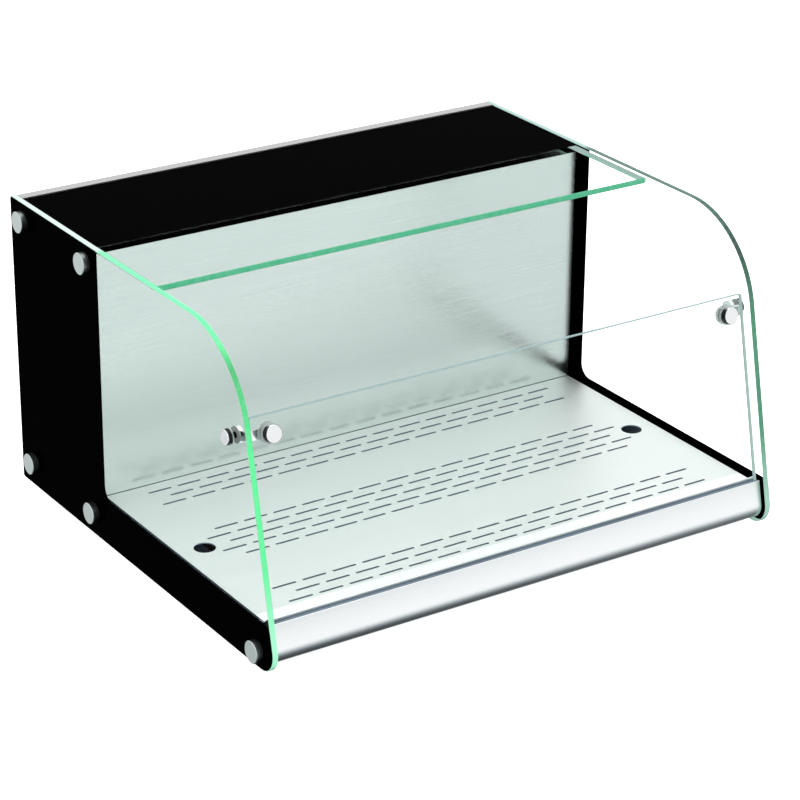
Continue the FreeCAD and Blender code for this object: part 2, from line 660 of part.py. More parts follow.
def blower_impeller():
    """Crossflow wheel: a ring of blades between discs, on its shaft."""
    x = (BLOWER_X[0] + 6.0, BLOWER_X[1] - 6.0)
    middle = (x[0] + x[1]) / 2.0
    pieces = []
    for start in (x[0], middle - 1.0, x[1] - 2.0):
        pieces.append(rod_x((start, start + 2.0), BLOWER_S, BLOWER_H, IMPELLER_R))
    rim = BLOWER_S + IMPELLER_R
    for index in range(IMPELLER_BLADES):
        blade = block((x[0] + 1.0, x[1] - 1.0), (rim - 7.0, rim - 1.0), (BLOWER_H, BLOWER_H + 0.9))
        blade.rotate(place(0, rim - 4.0, BLOWER_H), V(1, 0, 0), 32.0)
        blade.rotate(place(0, BLOWER_S, BLOWER_H), V(1, 0, 0), index * 360.0 / IMPELLER_BLADES)
        pieces.append(blade)
    shaft = rod_x((BLOWER_X[0] - 3.0, BLOWER_X[1] + 20.0), BLOWER_S, BLOWER_H, STUD_R)
    return shaft.fuse(pieces).removeSplitter()


def blower_motor():
    """Shaded-pole motor beside the blower."""
    x = (BLOWER_X[1] + 2.0, BLOWER_X[1] + 46.0)
    body = block(x, (BLOWER_S - 26.0, BLOWER_S + 26.0), (BLOWER_H - 26.0, BLOWER_H + 26.0))
    edges = [edge for edge in body.Edges if edge.BoundBox.XLength > 1.0]
    body = body.makeFillet(8.0, edges)
    nose = rod_x((BLOWER_X[1], x[0]), BLOWER_S, BLOWER_H, 9.0)
    bracket_s = (BLOWER_S - 20.0, BLOWER_S + 20.0)
    bracket = block((x[0] + 4.0, x[1] - 4.0), bracket_s, (BASE_H[1], BLOWER_H - 25.0))
    bore = rod_x((BLOWER_X[1] - 1.0, BLOWER_X[1] + 21.0), BLOWER_S, BLOWER_H, STUD_R + THREAD_GAP)
    return body.fuse([nose, bracket]).cut(bore).removeSplitter()


def sensor_bulb():
    """Thermostat bulb along the rear wall of the tray."""
    return rod_x(BULB_X, TRAY_S[0] + BULB_GAP, BULB_H, BULB_R)


def sensor_clips():
    """Two spring clips that hold the bulb to the tray wall."""
    clips = []
    for x in (BULB_X[0] + 10.0, BULB_X[1] - 16.0):
        pad = block((x, x + 6.0), (TRAY_S[0] + SHEET_T, TRAY_S[0] + 13.5), (BULB_H - 5.0, BULB_H + 5.0))
        clips.append(pad.cut(rod_x((x - 1.0, x + 7.0), TRAY_S[0] + BULB_GAP, BULB_H, BULB_R)))
    return Part.makeCompound(clips)


# ---- rear service panel and controls --------------------------------------------------------
PANEL_X = CHEEK_X[0] - 1.5
PANEL_H = (7.0, 301.0)
PANEL_T = 1.2
FLANGE_DEPTH = 12.0
PANEL_SCREW_R = 1.9
PANEL_SCREWS = [(x, h) for x in (-270.0, 0.0, 270.0) for h in (16.0, 292.0)]
PANEL_BACK_S = REAR_PANEL_S + PANEL_T
KNOB_FLUTES = 24
ROCKER_SIZE = (21.0, 32.0)
ROCKER_KEY = (15.0, 24.0)
ROCKER_TILT = 9.0
INLET_FLANGE = (50.0, 26.0)
INLET_BODY = (30.0, 22.0)
INLET_MOUTH = (25.0, 17.0)
INLET_DEPTH = 17.0
INLET_SCREW_SPAN = 40.0


def rear_panel():
    """Removable black panel with its controls' cut-outs and two fields of vent slots."""
    depth = (PANEL_BACK_S, REAR_PANEL_S + FLANGE_DEPTH)
    outer = block((-FLANGE_X, FLANGE_X), depth, (PANEL_H[0] + 1.0, PANEL_H[1] - 1.0))
    inner_h = (PANEL_H[0] + 1.0 + PANEL_T, PANEL_H[1] - 1.0 - PANEL_T)
    inner = block((-FLANGE_X + PANEL_T, FLANGE_X - PANEL_T), (depth[0] - 1.0, depth[1] + 1.0), inner_h)
    panel = block((-PANEL_X, PANEL_X), (REAR_PANEL_S, PANEL_BACK_S), PANEL_H).fuse(outer.cut(inner))
    through = (REAR_PANEL_S - 1.0, PANEL_BACK_S + 1.0)
    cuts = []
    for left in (-240.0, 60.0):
        for row in range(7):
            for column in range(5):
                x = left + 20.0 + column * 36.0
                h = 92.0 + row * 9.0
                cuts.append(block((x - 14.0, x + 14.0), through, (h - 2.0, h + 2.0)))
    cuts.append(rod_s(KNOB_X, through, CONTROL_H, 5.2))
    cuts.append(rod_s(LAMP_X, through, CONTROL_H, 5.2))
    cuts.append(rod_s(RESET_X, through, CONTROL_H, 6.2))
    cuts.append(centred_block(ROCKER_X, CONTROL_H, (ROCKER_SIZE[0] - 2.6, ROCKER_SIZE[1] - 2.6), through))
    cuts.append(centred_block(INLET_X, INLET_H, (INLET_BODY[0] + 0.6, INLET_BODY[1] + 0.6), through))
    for x, h in PANEL_SCREWS:
        cuts.append(rod_s(x, through, h, PANEL_SCREW_R + 0.1))
    for side in (-1.0, 1.0):
        cuts.append(rod_s(INLET_X + side * INLET_SCREW_SPAN / 2.0, through, INLET_H, 1.6))
    return panel.cut(cuts).removeSplitter()


def centred_block(x, h, size, s):
    """Box of the given width and height about (x, h), over the depth range s."""
    return block((x - size[0] / 2.0, x + size[0] / 2.0), s, (h - size[1] / 2.0, h + size[1] / 2.0))


def screw(x, h, radius, head, s):
    """Pan-head screw into the depth, its head against the face at s."""
    body = rod_s(x, (s, s + 9.0), h, radius)
    top = rod_s(x, (s - 1.8, s), h, head)
    top = top.makeFillet(0.9, face_edges(top, 1, (REAR_Y - s + 1.8,)))
    drive = centred_block(x, h, (head * 1.2, 0.8), (s - 3.0, s - 1.0))
    return top.fuse(body).cut(drive).removeSplitter()


def rear_panel_screws():
    """Screws round the rear panel."""
    return Part.makeCompound([screw(x, h, PANEL_SCREW_R, 4.0, REAR_PANEL_S) for x, h in PANEL_SCREWS])


def thermostat_body():
    """Thermostat behind the panel, with its threaded bush and nut."""
    body = centred_block(KNOB_X, CONTROL_H, (44.0, 36.0), (PANEL_BACK_S + 2.0, PANEL_BACK_S + 32.0))
    shoulder = rod_s(KNOB_X, (PANEL_BACK_S, PANEL_BACK_S + 2.0), CONTROL_H, 9.0)
    bush = rod_s(KNOB_X, (REAR_PANEL_S - 4.0, PANEL_BACK_S), CONTROL_H, 5.0)
    bore = rod_s(KNOB_X, (REAR_PANEL_S - 6.0, PANEL_BACK_S + 20.0), CONTROL_H, STUD_R + THREAD_GAP)
    return body.fuse([shoulder, bush]).cut(bore).removeSplitter()


def thermostat_dial():
    """Raised scale ring behind the knob."""
    return ring_s(KNOB_X, (REAR_PANEL_S - 0.8, REAR_PANEL_S), CONTROL_H, 28.0, 5.3)


def thermostat_knob():
    """Control knob with a fluted rim, a grip bar and its shaft."""
    base = REAR_PANEL_S - 1.4
    top = base - 14.0
    skirt = rod_s(KNOB_X, (base - 4.0, base), CONTROL_H, 21.0)
    crown = rod_s(KNOB_X, (top, base - 4.0), CONTROL_H, 17.0)
    crown = crown.makeFillet(1.5, face_edges(crown, 1, (REAR_Y - top,)))
    knob = skirt.fuse(crown)
    flutes = []
    for index in range(KNOB_FLUTES):
        x, h = turned((KNOB_X, CONTROL_H), 18.0, (index + 0.5) * 360.0 / KNOB_FLUTES)
        flutes.append(rod_s(x, (top - 1.0, base - 4.0), h, 1.6))
    knob = knob.cut(flutes)
    pointer = centred_block(KNOB_X, CONTROL_H + 17.75, (2.4, 5.5), (base - 4.8, base - 3.0))
    hollow = rod_s(KNOB_X, (base - 4.5, base + 1.0), CONTROL_H, 8.0)
    shaft = rod_s(KNOB_X, (base - 6.0, PANEL_BACK_S + 16.0), CONTROL_H, STUD_R)
    return knob.fuse(pointer).cut(hollow).fuse(shaft).removeSplitter()


def rocker_frame():
    """Switch bezel with its body behind the panel."""
    width, height = ROCKER_SIZE
    bezel = centred_block(ROCKER_X, CONTROL_H, ROCKER_SIZE, (REAR_PANEL_S - 2.0, REAR_PANEL_S))
    bezel = bezel.makeChamfer(0.8, face_edges(bezel, 1, (REAR_Y - REAR_PANEL_S + 2.0,)))
    body_s = (REAR_PANEL_S, REAR_PANEL_S + 22.0)
    body = centred_block(ROCKER_X, CONTROL_H, (width - 3.0, height - 3.0), body_s)
    well_size = (ROCKER_KEY[0] + 0.8, ROCKER_KEY[1] + 3.0)
    well = centred_block(ROCKER_X, CONTROL_H, well_size, (REAR_PANEL_S - 3.0, REAR_PANEL_S + 12.0))
    pin = rod_x((ROCKER_X - 8.2, ROCKER_X + 8.2), REAR_PANEL_S + 4.0, CONTROL_H, 1.2)
    return bezel.fuse(body).cut(well).fuse(pin).removeSplitter()


def rocker_key():
    """Rocker with two slightly dished halves, shown with its lower half out."""
    width, height = ROCKER_KEY
    pivot = REAR_PANEL_S + 4.0
    half = height / 2.0
    outer = [(-6.0, 0.0), (-7.6, half - 0.8), (-6.4, half)]
    inner = [(3.0, 3.0), (3.0, -3.0), (-6.4, -half), (-7.6, -half + 0.8)]
    points = [(pivot + forward, CONTROL_H + up) for forward, up in outer + inner]
    key = side_polygon(points, (ROCKER_X - width / 2.0, ROCKER_X + width / 2.0))
    key = key.cut(rod_x((ROCKER_X - width, ROCKER_X + width), pivot, CONTROL_H, 1.25))
    key.rotate(place(ROCKER_X, pivot, CONTROL_H), V(1, 0, 0), ROCKER_TILT)
    return key


def pilot_body():
    """Lamp holder behind the panel with its bezel."""
    bezel = ring_s(LAMP_X, (REAR_PANEL_S - 1.2, REAR_PANEL_S), CONTROL_H, 7.5, 4.2)
    tube = ring_s(LAMP_X, (REAR_PANEL_S, PANEL_BACK_S + 20.0), CONTROL_H, 5.0, 4.2)
    return bezel.fuse(tube).removeSplitter()


def pilot_lens():
    """Domed lens of the pilot lamp."""
    radius = 4.1
    lens = rod_s(LAMP_X, (REAR_PANEL_S - 3.5, REAR_PANEL_S + 8.0), CONTROL_H, radius)
    return lens.makeFillet(2.6, face_edges(lens, 1, (REAR_Y - REAR_PANEL_S + 3.5,)))


def cutout_body():
    """Over-temperature cut-out with the collar of its reset button."""
    collar = rod_s(RESET_X, (REAR_PANEL_S - 2.0, PANEL_BACK_S), CONTROL_H, 6.0)
    flange = rod_s(RESET_X, (REAR_PANEL_S - 2.0, REAR_PANEL_S), CONTROL_H, 8.0)
    body = rod_s(RESET_X, (PANEL_BACK_S, PANEL_BACK_S + 18.0), CONTROL_H, 11.0)
    bore = rod_s(RESET_X, (REAR_PANEL_S - 3.0, PANEL_BACK_S + 10.0), CONTROL_H, 3.6)
    return body.fuse([collar, flange]).cut(bore).removeSplitter()


def reset_button():
    """Push button of the cut-out."""
    button = rod_s(RESET_X, (REAR_PANEL_S - 5.5, PANEL_BACK_S + 5.0), CONTROL_H, 3.5)
    return button.makeFillet(0.8, face_edges(button, 1, (REAR_Y - REAR_PANEL_S + 5.5,)))


def inlet_body():
    """Three-pole mains inlet with its flange."""
    flange = centred_block(INLET_X, INLET_H, INLET_FLANGE, (REAR_PANEL_S - 2.5, REAR_PANEL_S))
    corners = [edge for edge in flange.Edges if edge.BoundBox.YLength > 1.0]
    flange = flange.makeFillet(5.0, corners)
    body = centred_block(INLET_X, INLET_H, INLET_BODY, (REAR_PANEL_S, REAR_PANEL_S + 24.0))
    mouth_s = (REAR_PANEL_S - 4.0, REAR_PANEL_S - 2.5 + INLET_DEPTH)
    mouth = centred_block(INLET_X, INLET_H, INLET_MOUTH, mouth_s)
    long_edges = [edge for edge in mouth.Edges if edge.BoundBox.YLength > 1.0]
    upper = [edge for edge in long_edges if edge.BoundBox.ZMax > GROUND_GAP + INLET_H]
    mouth = mouth.makeChamfer(4.0, upper)
    inlet = flange.fuse(body).cut(mouth)
    for side in (-1.0, 1.0):
        x = INLET_X + side * INLET_SCREW_SPAN / 2.0
        inlet = inlet.cut(rod_s(x, (REAR_PANEL_S - 4.0, REAR_PANEL_S + 1.0), INLET_H, 1.6))
    return inlet.removeSplitter()


def inlet_pins():
    """The inlet's three flat pins."""
    floor = REAR_PANEL_S - 2.5 + INLET_DEPTH
    pins = []
    for x, h in ((INLET_X - 7.0, INLET_H - 1.5), (INLET_X, INLET_H + 3.0), (INLET_X + 7.0, INLET_H - 1.5)):
        pins.append(centred_block(x, h, (2.0, 4.0), (floor - 11.0, floor)))
    return Part.makeCompound(pins)


def inlet_screws():
    """Two screws through the inlet's flange."""
    places = [INLET_X + side * INLET_SCREW_SPAN / 2.0 for side in (-1.0, 1.0)]
    return Part.makeCompound([screw(x, INLET_H, 1.5, 2.8, REAR_PANEL_S - 2.5) for x in places])


def terminal_block():
    """Six-way terminal block on the compartment floor."""
    block_body = block((190.0, 250.0), (70.0, 92.0), (BASE_H[1], 24.0))
    for index in range(6):
        x = 195.0 + index * 10.0
        block_body = block_body.cut(rod_h(x, 76.0, (16.0, 26.0), 2.2))
        block_body = block_body.cut(rod_h(x, 86.0, (16.0, 26.0), 2.2))
    return block_body


# ---- feet -----------------------------------------------------------------------------------
FOOT_R = 15.0
FOOT_X = 240.0
FOOT_S = (60.0, 440.0)


def foot(x, s):
    """Rubber foot, slightly tapered, with a recess for its screw."""
    low = V(x, REAR_Y - s, 0)
    height = GROUND_GAP + BASE_H[0]
    body = Part.makeCone(FOOT_R - 2.0, FOOT_R, height, low, V(0, 0, 1))
    recess = Part.makeCylinder(5.0, 6.0, low, V(0, 0, 1))
    bore = Part.makeCylinder(2.2, height, low, V(0, 0, 1))
    return body.cut([recess, bore])


def foot_screws():
    """Screws that hold the feet to the bottom sheet."""
    screws = []
    for x in (-FOOT_X, FOOT_X):
        for s in FOOT_S:
            head = Part.makeCylinder(4.4, 2.4, V(x, REAR_Y - s, 3.4), V(0, 0, 1))
            shank = Part.makeCylinder(2.1, GROUND_GAP + BASE_H[1] - 4.0, V(x, REAR_Y - s, 4.0), V(0, 0, 1))
            screws.append(head.fuse(shank).removeSplitter())
    return Part.makeCompound(screws)


def build():
    """Every piece by name."""
    glass = side_glass()
    film = border_print()
    arm = connector_arm()
    plate = cheek()
    caps = cap_bolts()
    washers = connector_washers()
    nodes = {
        "side_glass_right": glass,
        "side_glass_left": mirrored(glass),
        "border_print_right": film,
        "border_print_left": mirrored(film),
        "top_glass": top_glass(),
        "top_print": top_print(),
        "silicone_seams": silicone_seams(),
        "front_pane": front_pane(),
        "pane_gasket": pane_gasket(),
        "front_profile": front_profile(),
        "cap_bolts_right": Part.makeCompound(caps),
        "cap_bolts_left": Part.makeCompound([mirrored(cap) for cap in caps]),
        "cap_washers": cap_washers(),
        "glass_gaskets": glass_gaskets(),
        "connector_arm_right": arm,
        "connector_arm_left": mirrored(arm),
        "connector_pane_bolts": Part.makeCompound(both_sides(pane_bolt())),
        "connector_side_bolts": Part.makeCompound(both_sides(side_bolt())),
        "connector_washers": Part.makeCompound(washers + [mirrored(ring) for ring in washers]),
        "cheek_right": plate,
        "cheek_left": mirrored(plate),
        "back_wall": back_wall(),
        "wall_insulation": wall_insulation(),
        "top_bearer": top_bearer(),
        "bonding_tape": bonding_tape(),
        "rear_rail": rear_rail(),
        "chassis_base": chassis_base(),
        "base_insulation": base_insulation(),
        "plenum_tray": plenum_tray(),
        "deck_plate": deck_plate(),
        "heater_element": heater_element(),
        "heater_supports": heater_supports(),
        "blower_housing": blower_housing(),
        "blower_impeller": blower_impeller(),
        "blower_motor": blower_motor(),
        "sensor_bulb": sensor_bulb(),
        "sensor_clips": sensor_clips(),
        "rear_panel": rear_panel(),
        "rear_panel_screws": rear_panel_screws(),
        "thermostat_body": thermostat_body(),
        "thermostat_dial": thermostat_dial(),
        "thermostat_knob": thermostat_knob(),
        "rocker_frame": rocker_frame(),
        "rocker_key": rocker_key(),
        "pilot_body": pilot_body(),
        "pilot_lens": pilot_lens(),
        "cutout_body": cutout_body(),
        "reset_button": reset_button(),
        "inlet_body": inlet_body(),
        "inlet_pins": inlet_pins(),
        "inlet_screws": inlet_screws(),
        "terminal_block": terminal_block(),
        "foot_screws": foot_screws(),
    }
    for side, x in (("left", -FOOT_X), ("right", FOOT_X)):
        for end, s in zip(("rear", "front"), FOOT_S):
            nodes["foot_" + end + "_" + side] = foot(x, s)
    return nodes


def main():
    """Write every piece to parts/."""
    os.makedirs("parts", exist_ok=True)
    for name, shape in build().items():
        shape.exportStep("parts/" + name + ".step")
        print(name, len(shape.Solids), round(shape.Volume / 1000.0, 2), shape.isValid())


main()
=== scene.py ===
"""Hot food display case: looks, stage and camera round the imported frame.

Every place is in metres in the frame's own axes: +Z up, the front faces -Y, +X to the right.
Points on the case are often given as (s, h): s forward from the rear edge of the side glass and
h up from its lower edge.
"""
import math

import bmesh
import bpy
import numpy as np
from mathutils import Matrix, Vector


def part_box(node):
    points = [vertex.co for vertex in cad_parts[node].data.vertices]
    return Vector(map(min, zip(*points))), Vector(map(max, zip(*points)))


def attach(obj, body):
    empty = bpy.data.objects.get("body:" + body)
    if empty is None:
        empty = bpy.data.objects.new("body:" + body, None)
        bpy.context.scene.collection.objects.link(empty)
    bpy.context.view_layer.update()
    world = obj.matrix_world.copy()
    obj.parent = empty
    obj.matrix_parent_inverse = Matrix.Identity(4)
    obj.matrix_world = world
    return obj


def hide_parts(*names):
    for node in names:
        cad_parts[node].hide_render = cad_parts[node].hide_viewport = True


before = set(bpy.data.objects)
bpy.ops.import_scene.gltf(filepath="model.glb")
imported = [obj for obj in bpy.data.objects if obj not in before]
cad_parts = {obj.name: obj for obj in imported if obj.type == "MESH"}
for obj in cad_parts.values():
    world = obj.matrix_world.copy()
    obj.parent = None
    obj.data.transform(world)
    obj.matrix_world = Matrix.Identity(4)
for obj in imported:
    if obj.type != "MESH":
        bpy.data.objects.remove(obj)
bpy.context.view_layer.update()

bl_info = {
    "name": "Hot Food Display Case",
    "version": (1, 0, 0),
    "blender": (4, 5, 0),
    "location": "3D View > Sidebar > Display Case",
    "description": "Glass, metal and plastic finishes of a countertop hot food display case",
    "category": "Object",
}


# ---- sizes read from the frame --------------------------------------------------------------
GLASS_LOW, GLASS_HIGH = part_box("side_glass_right")
REAR_Y = GLASS_HIGH.y
GROUND_GAP = GLASS_LOW.z
GLASS_DEPTH = GLASS_HIGH.y - GLASS_LOW.y
GLASS_HEIGHT = GLASS_HIGH.z - GLASS_LOW.z
GLASS_X = (GLASS_LOW.x, GLASS_HIGH.x)
TOP_LOW, TOP_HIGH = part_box("top_glass")
PANE_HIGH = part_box("front_pane")[1]
PROFILE_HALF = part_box("front_profile")[1].x
DECK_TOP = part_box("deck_plate")[1].z

# ---- sizes of the outline -------------------------------------------------------------------
MM = 0.001
TILT = 12.0                    # lean of the glass front and the pane, degrees from upright
LEAN = math.radians(TILT)
NOSE_R = 22.0 * MM
CROWN_R = 108.0 * MM
REAR_CORNER_R = 3.0 * MM
NOSE_CENTRE = (GLASS_DEPTH - NOSE_R, NOSE_R)
FRONT_REACH = NOSE_CENTRE[0] * math.cos(LEAN) + NOSE_CENTRE[1] * math.sin(LEAN) + NOSE_R
CROWN_H = GLASS_HEIGHT - CROWN_R
CROWN_CENTRE = ((FRONT_REACH - CROWN_R - CROWN_H * math.sin(LEAN)) / math.cos(LEAN), CROWN_H)
BORDER_S = 191.0 * MM
PANE_T = 5.0 * MM
PANE_INSET = 8.0 * MM          # outer face of the pane behind the glass front edge
PANE_FOOT_H = 43.5 * MM
PANE_HALF = GLASS_X[0] - 3.2 * MM
PANE_CORNER_R = 3.0 * MM
PROFILE_INSET = 6.0 * MM
CAP_POINTS = np.array([(29.0, 300.0), (166.0, 300.0), (29.0, 27.0), (166.0, 26.0),
                       (494.0, 18.0)]) * MM
CONNECTOR_H = 226.0 * MM
MIRRORED_CLEAR = 0.92          # share of the glass that a mirror image of it shows as fully clear
HEM_S = 477.0 * MM             # where the deck's polished front hem begins; its near-white colour is partly a painted highlight
CONNECTOR_LEG = 24.0 * MM
CONNECTOR_BACK = 0.8 * MM      # clear washers between the connectors' bolts and the glass
FINE_ANGLE = math.radians(35.0)
CAP_R = 11.5 * MM
PANE_BOLT_R = 9.0 * MM
SIDE_BOLT_R = 8.0 * MM
STUD_R = 3.0 * MM
TURNED_DISH = 0.12 * MM        # how far a cap's turned face lies below its rim
STUD_CHAMFER = 0.3 * MM
TICK_R = 23.8 * MM             # inner end of the dial's short marks
LONG_TICK_R = 22.2 * MM
INK_RIM_R = 26.8 * MM
INK_SOFT = 0.2 * MM
FINE_RELIEF = 0.1 * MM         # depth that the finest bump stands for

# ---- light and colours that are not settings -------------------------------------------------
KEY_LAMP = ((-1.6, -1.8, 2.6), 2.2)   # place and width of the soft lamps
TOP_LAMP = ((0.4, 0.3, 3.0), 2.0)
LAMP_AIM = (0.0, 0.0, 0.15)
SETTLED_DUST = (0.45, 0.44, 0.42)
# Painted shade: dull grey-blue painted on the deck's slot and hole walls
SLOT_WALL_PAINTED_SHADE = (0.22, 0.30, 0.40)
# Painted highlight: near-white colour of the deck's polished front hem
POLISHED_HEM_HIGHLIGHT = (0.97, 0.98, 0.98)
PRINTED_INK = (0.02, 0.02, 0.022)
LEANING_BACK = np.array([-math.cos(LEAN), -math.sin(LEAN)])


# ---- shapes ---------------------------------------------------------------------------------
def in_frame(x, s, h):
    """Points of the frame from arrays of side offset x, distance forward s and height h."""
    x, s, h = np.broadcast_arrays(x, s, h)
    return np.stack([x, REAR_Y - s, GROUND_GAP + h], axis=-1).astype(float)


def arc(centre, radius, start, end, steps):
    """Points centre + radius (cos a, sin a) for a from start to end degrees."""
    angle = np.radians(np.linspace(start, end, steps))
    return np.array(centre) + radius * np.stack([np.cos(angle), np.sin(angle)], axis=-1)


def front_point(inset, h):
    """Point (s, h) on the leaning front line, set back square to it by inset."""
    return ((FRONT_REACH - inset - h * math.sin(LEAN)) / math.cos(LEAN), h)


def glass_outline(inset):
    """Side glass outline, inset all round: nose, leaning front, crown, top and rear corners."""
    corner = REAR_CORNER_R
    return np.concatenate([
        arc(NOSE_CENTRE, NOSE_R - inset, -90.0, TILT, 40),
        arc(CROWN_CENTRE, CROWN_R - inset, TILT, 90.0, 96),
        arc((corner, GLASS_HEIGHT - corner), corner - inset, 90.0, 180.0, 10),
        arc((corner, corner), corner - inset, 180.0, 270.0, 10),
    ])


def rectangle_outline(inset, low, high, radii):
    """Rectangle between two corners, inset all round; radii are for its four corners in turn."""
    centres = [(high[0], low[1], -90.0), (high[0], high[1], 0.0), (low[0], high[1], 90.0),
               (low[0], low[1], 180.0)]
    pieces = []
    for (u, v, start), radius in zip(centres, radii):
        middle = (u - math.copysign(radius, u - low[0] - 1e-9),
                  v - math.copysign(radius, v - low[1] - 1e-9))
        pieces.append(arc(middle, radius - inset, start, start + 90.0, 9))
    return np.concatenate(pieces)


def arris(thickness, radius, steps=6):
    """Cross-section of a ground glass edge: (inset, depth) pairs from one face to the other.

    Each corner is a quarter circle: inset = r - r cos t and depth = r - r sin t for one face, and
    the same turned over for the other."""
    t = np.radians(np.linspace(90.0, 0.0, steps))
    inset = radius - radius * np.cos(t)
    depth = radius - radius * np.sin(t)
    return np.concatenate([np.stack([inset, depth], -1),
                           np.stack([inset, thickness - depth], -1)[::-1]])


def ring_faces(rings, count):
    """Quads between neighbouring closed rings of count points each."""
    i, j = np.meshgrid(np.arange(rings - 1), np.arange(count), indexing="ij")
    a = i * count + j
    b = i * count + (j + 1) % count
    return np.stack([a, b, b + count, a + count], axis=-1).reshape(-1, 4)


def make_piece(name, points, faces, body, stands_for, uv=None, flat_from=None,
               edge_slots=None):
    """Mesh object from points and faces, outward facing, riding on a body in place of CAD nodes.

    Faces from index flat_from on stay flat; edge_slots gives each face's material index."""
    mesh = bpy.data.meshes.new(name)
    mesh.from_pydata(points.tolist(), [], [list(map(int, face)) for face in faces])
    if uv is not None:
        layer = mesh.uv_layers.new(name="Turning")
        index = np.empty(len(mesh.loops), np.int64)
        mesh.loops.foreach_get("vertex_index", index)
        layer.data.foreach_set("uv", uv[index].astype(np.float32).ravel())
    if edge_slots is not None:
        mesh.polygons.foreach_set("material_index", np.asarray(edge_slots, np.int32))
    smooth = np.ones(len(faces), bool)
    if flat_from is not None:
        smooth[flat_from:] = False
    mesh.polygons.foreach_set("use_smooth", smooth)
    work = bmesh.new()
    work.from_mesh(mesh)
    bmesh.ops.recalc_face_normals(work, faces=work.faces)
    work.to_mesh(mesh)
    work.free()
    mesh.set_sharp_from_angle(angle=FINE_ANGLE)
    mesh.update()
    piece = bpy.data.objects.new(name, mesh)
    bpy.context.scene.collection.objects.link(piece)
    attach(piece, body)
    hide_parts(*stands_for)
    return piece


def plate(name, outline, thickness, radius, place, stands_for):
    """Sheet with rounded edges: the outline carried along the edge's cross-section, flat faces.

    outline(inset) gives the ring, place(ring, depth) puts it in the frame."""
    section = arris(thickness, radius)
    rings = [place(outline(inset), depth) for inset, depth in section]
    count = len(rings[0])
    points = np.concatenate(rings)
    sides = ring_faces(len(rings), count)
    faces = list(sides) + [np.arange(count)[::-1], np.arange(count) + (len(rings) - 1) * count]
    slots = [1] * len(sides) + [0, 0]
    return make_piece(name, points, faces, "case", stands_for, flat_from=len(sides),
                      edge_slots=slots)


def lathe(profile, centres, axis, side, steps=64):
    """Turned solids: profile points (radius, along) carried round an axis at each centre.

    point = centre + along axis + radius (side cos a + up sin a), with both poles closed. Returns
    points, faces and the map whose u is the share of a turn and whose v is the radius in metres."""
    axis = np.array(axis, float)
    side = np.array(side, float)
    up = np.cross(axis, side)
    angle = np.linspace(0.0, 2.0 * math.pi, steps, endpoint=False)
    around = np.cos(angle)[:, None] * side + np.sin(angle)[:, None] * up
    radius, along = np.array(profile, float).T
    one = along[:, None, None] * axis + radius[:, None, None] * around[None]
    rings = len(radius)
    ends = np.stack([along[0] * axis, along[-1] * axis])
    single = np.concatenate([one.reshape(-1, 3), ends])
    quads = ring_faces(rings, steps)
    j = np.arange(steps)
    first = np.stack([(j + 1) % steps, j, np.full(steps, rings * steps)], -1)
    last_row = (rings - 1) * steps
    last = np.stack([last_row + j, last_row + (j + 1) % steps, np.full(steps, rings * steps + 1)],
                    -1)
    uv = np.concatenate([
        np.stack(np.broadcast_arrays(angle[None] / (2.0 * math.pi), radius[:, None]),
                 -1).reshape(-1, 2),
        np.zeros((2, 2)),
    ])
    points, faces, maps = [], [], []
    for index, centre in enumerate(centres):
        shift = index * len(single)
        points.append(single + np.array(centre))
        faces += list(quads + shift) + list(first + shift) + list(last + shift)
        maps.append(uv)
    return np.concatenate(points), faces, np.concatenate(maps)


def rounded_section(corners, radius, steps=5):
    """Closed section in (s, h) whose corners are turned by arcs as large as radius allows."""
    corners = np.array(corners, float)
    before = np.roll(corners, 1, axis=0)
    after = np.roll(corners, -1, axis=0)
    to_before = before - corners
    to_after = after - corners
    reach = 0.45 * np.minimum(np.linalg.norm(to_before, axis=1), np.linalg.norm(to_after, axis=1))
    reach = np.minimum(reach, radius)[:, None]
    start = corners + to_before / np.linalg.norm(to_before, axis=1)[:, None] * reach
    end = corners + to_after / np.linalg.norm(to_after, axis=1)[:, None] * reach
    t = np.linspace(0.0, 1.0, steps)[None, :, None]
    curve = start[:, None] * (1 - t) ** 2 + corners[:, None] * 2 * t * (1 - t) + end[:,
                                                                                     None] * t ** 2
    return curve.reshape(-1, 2)


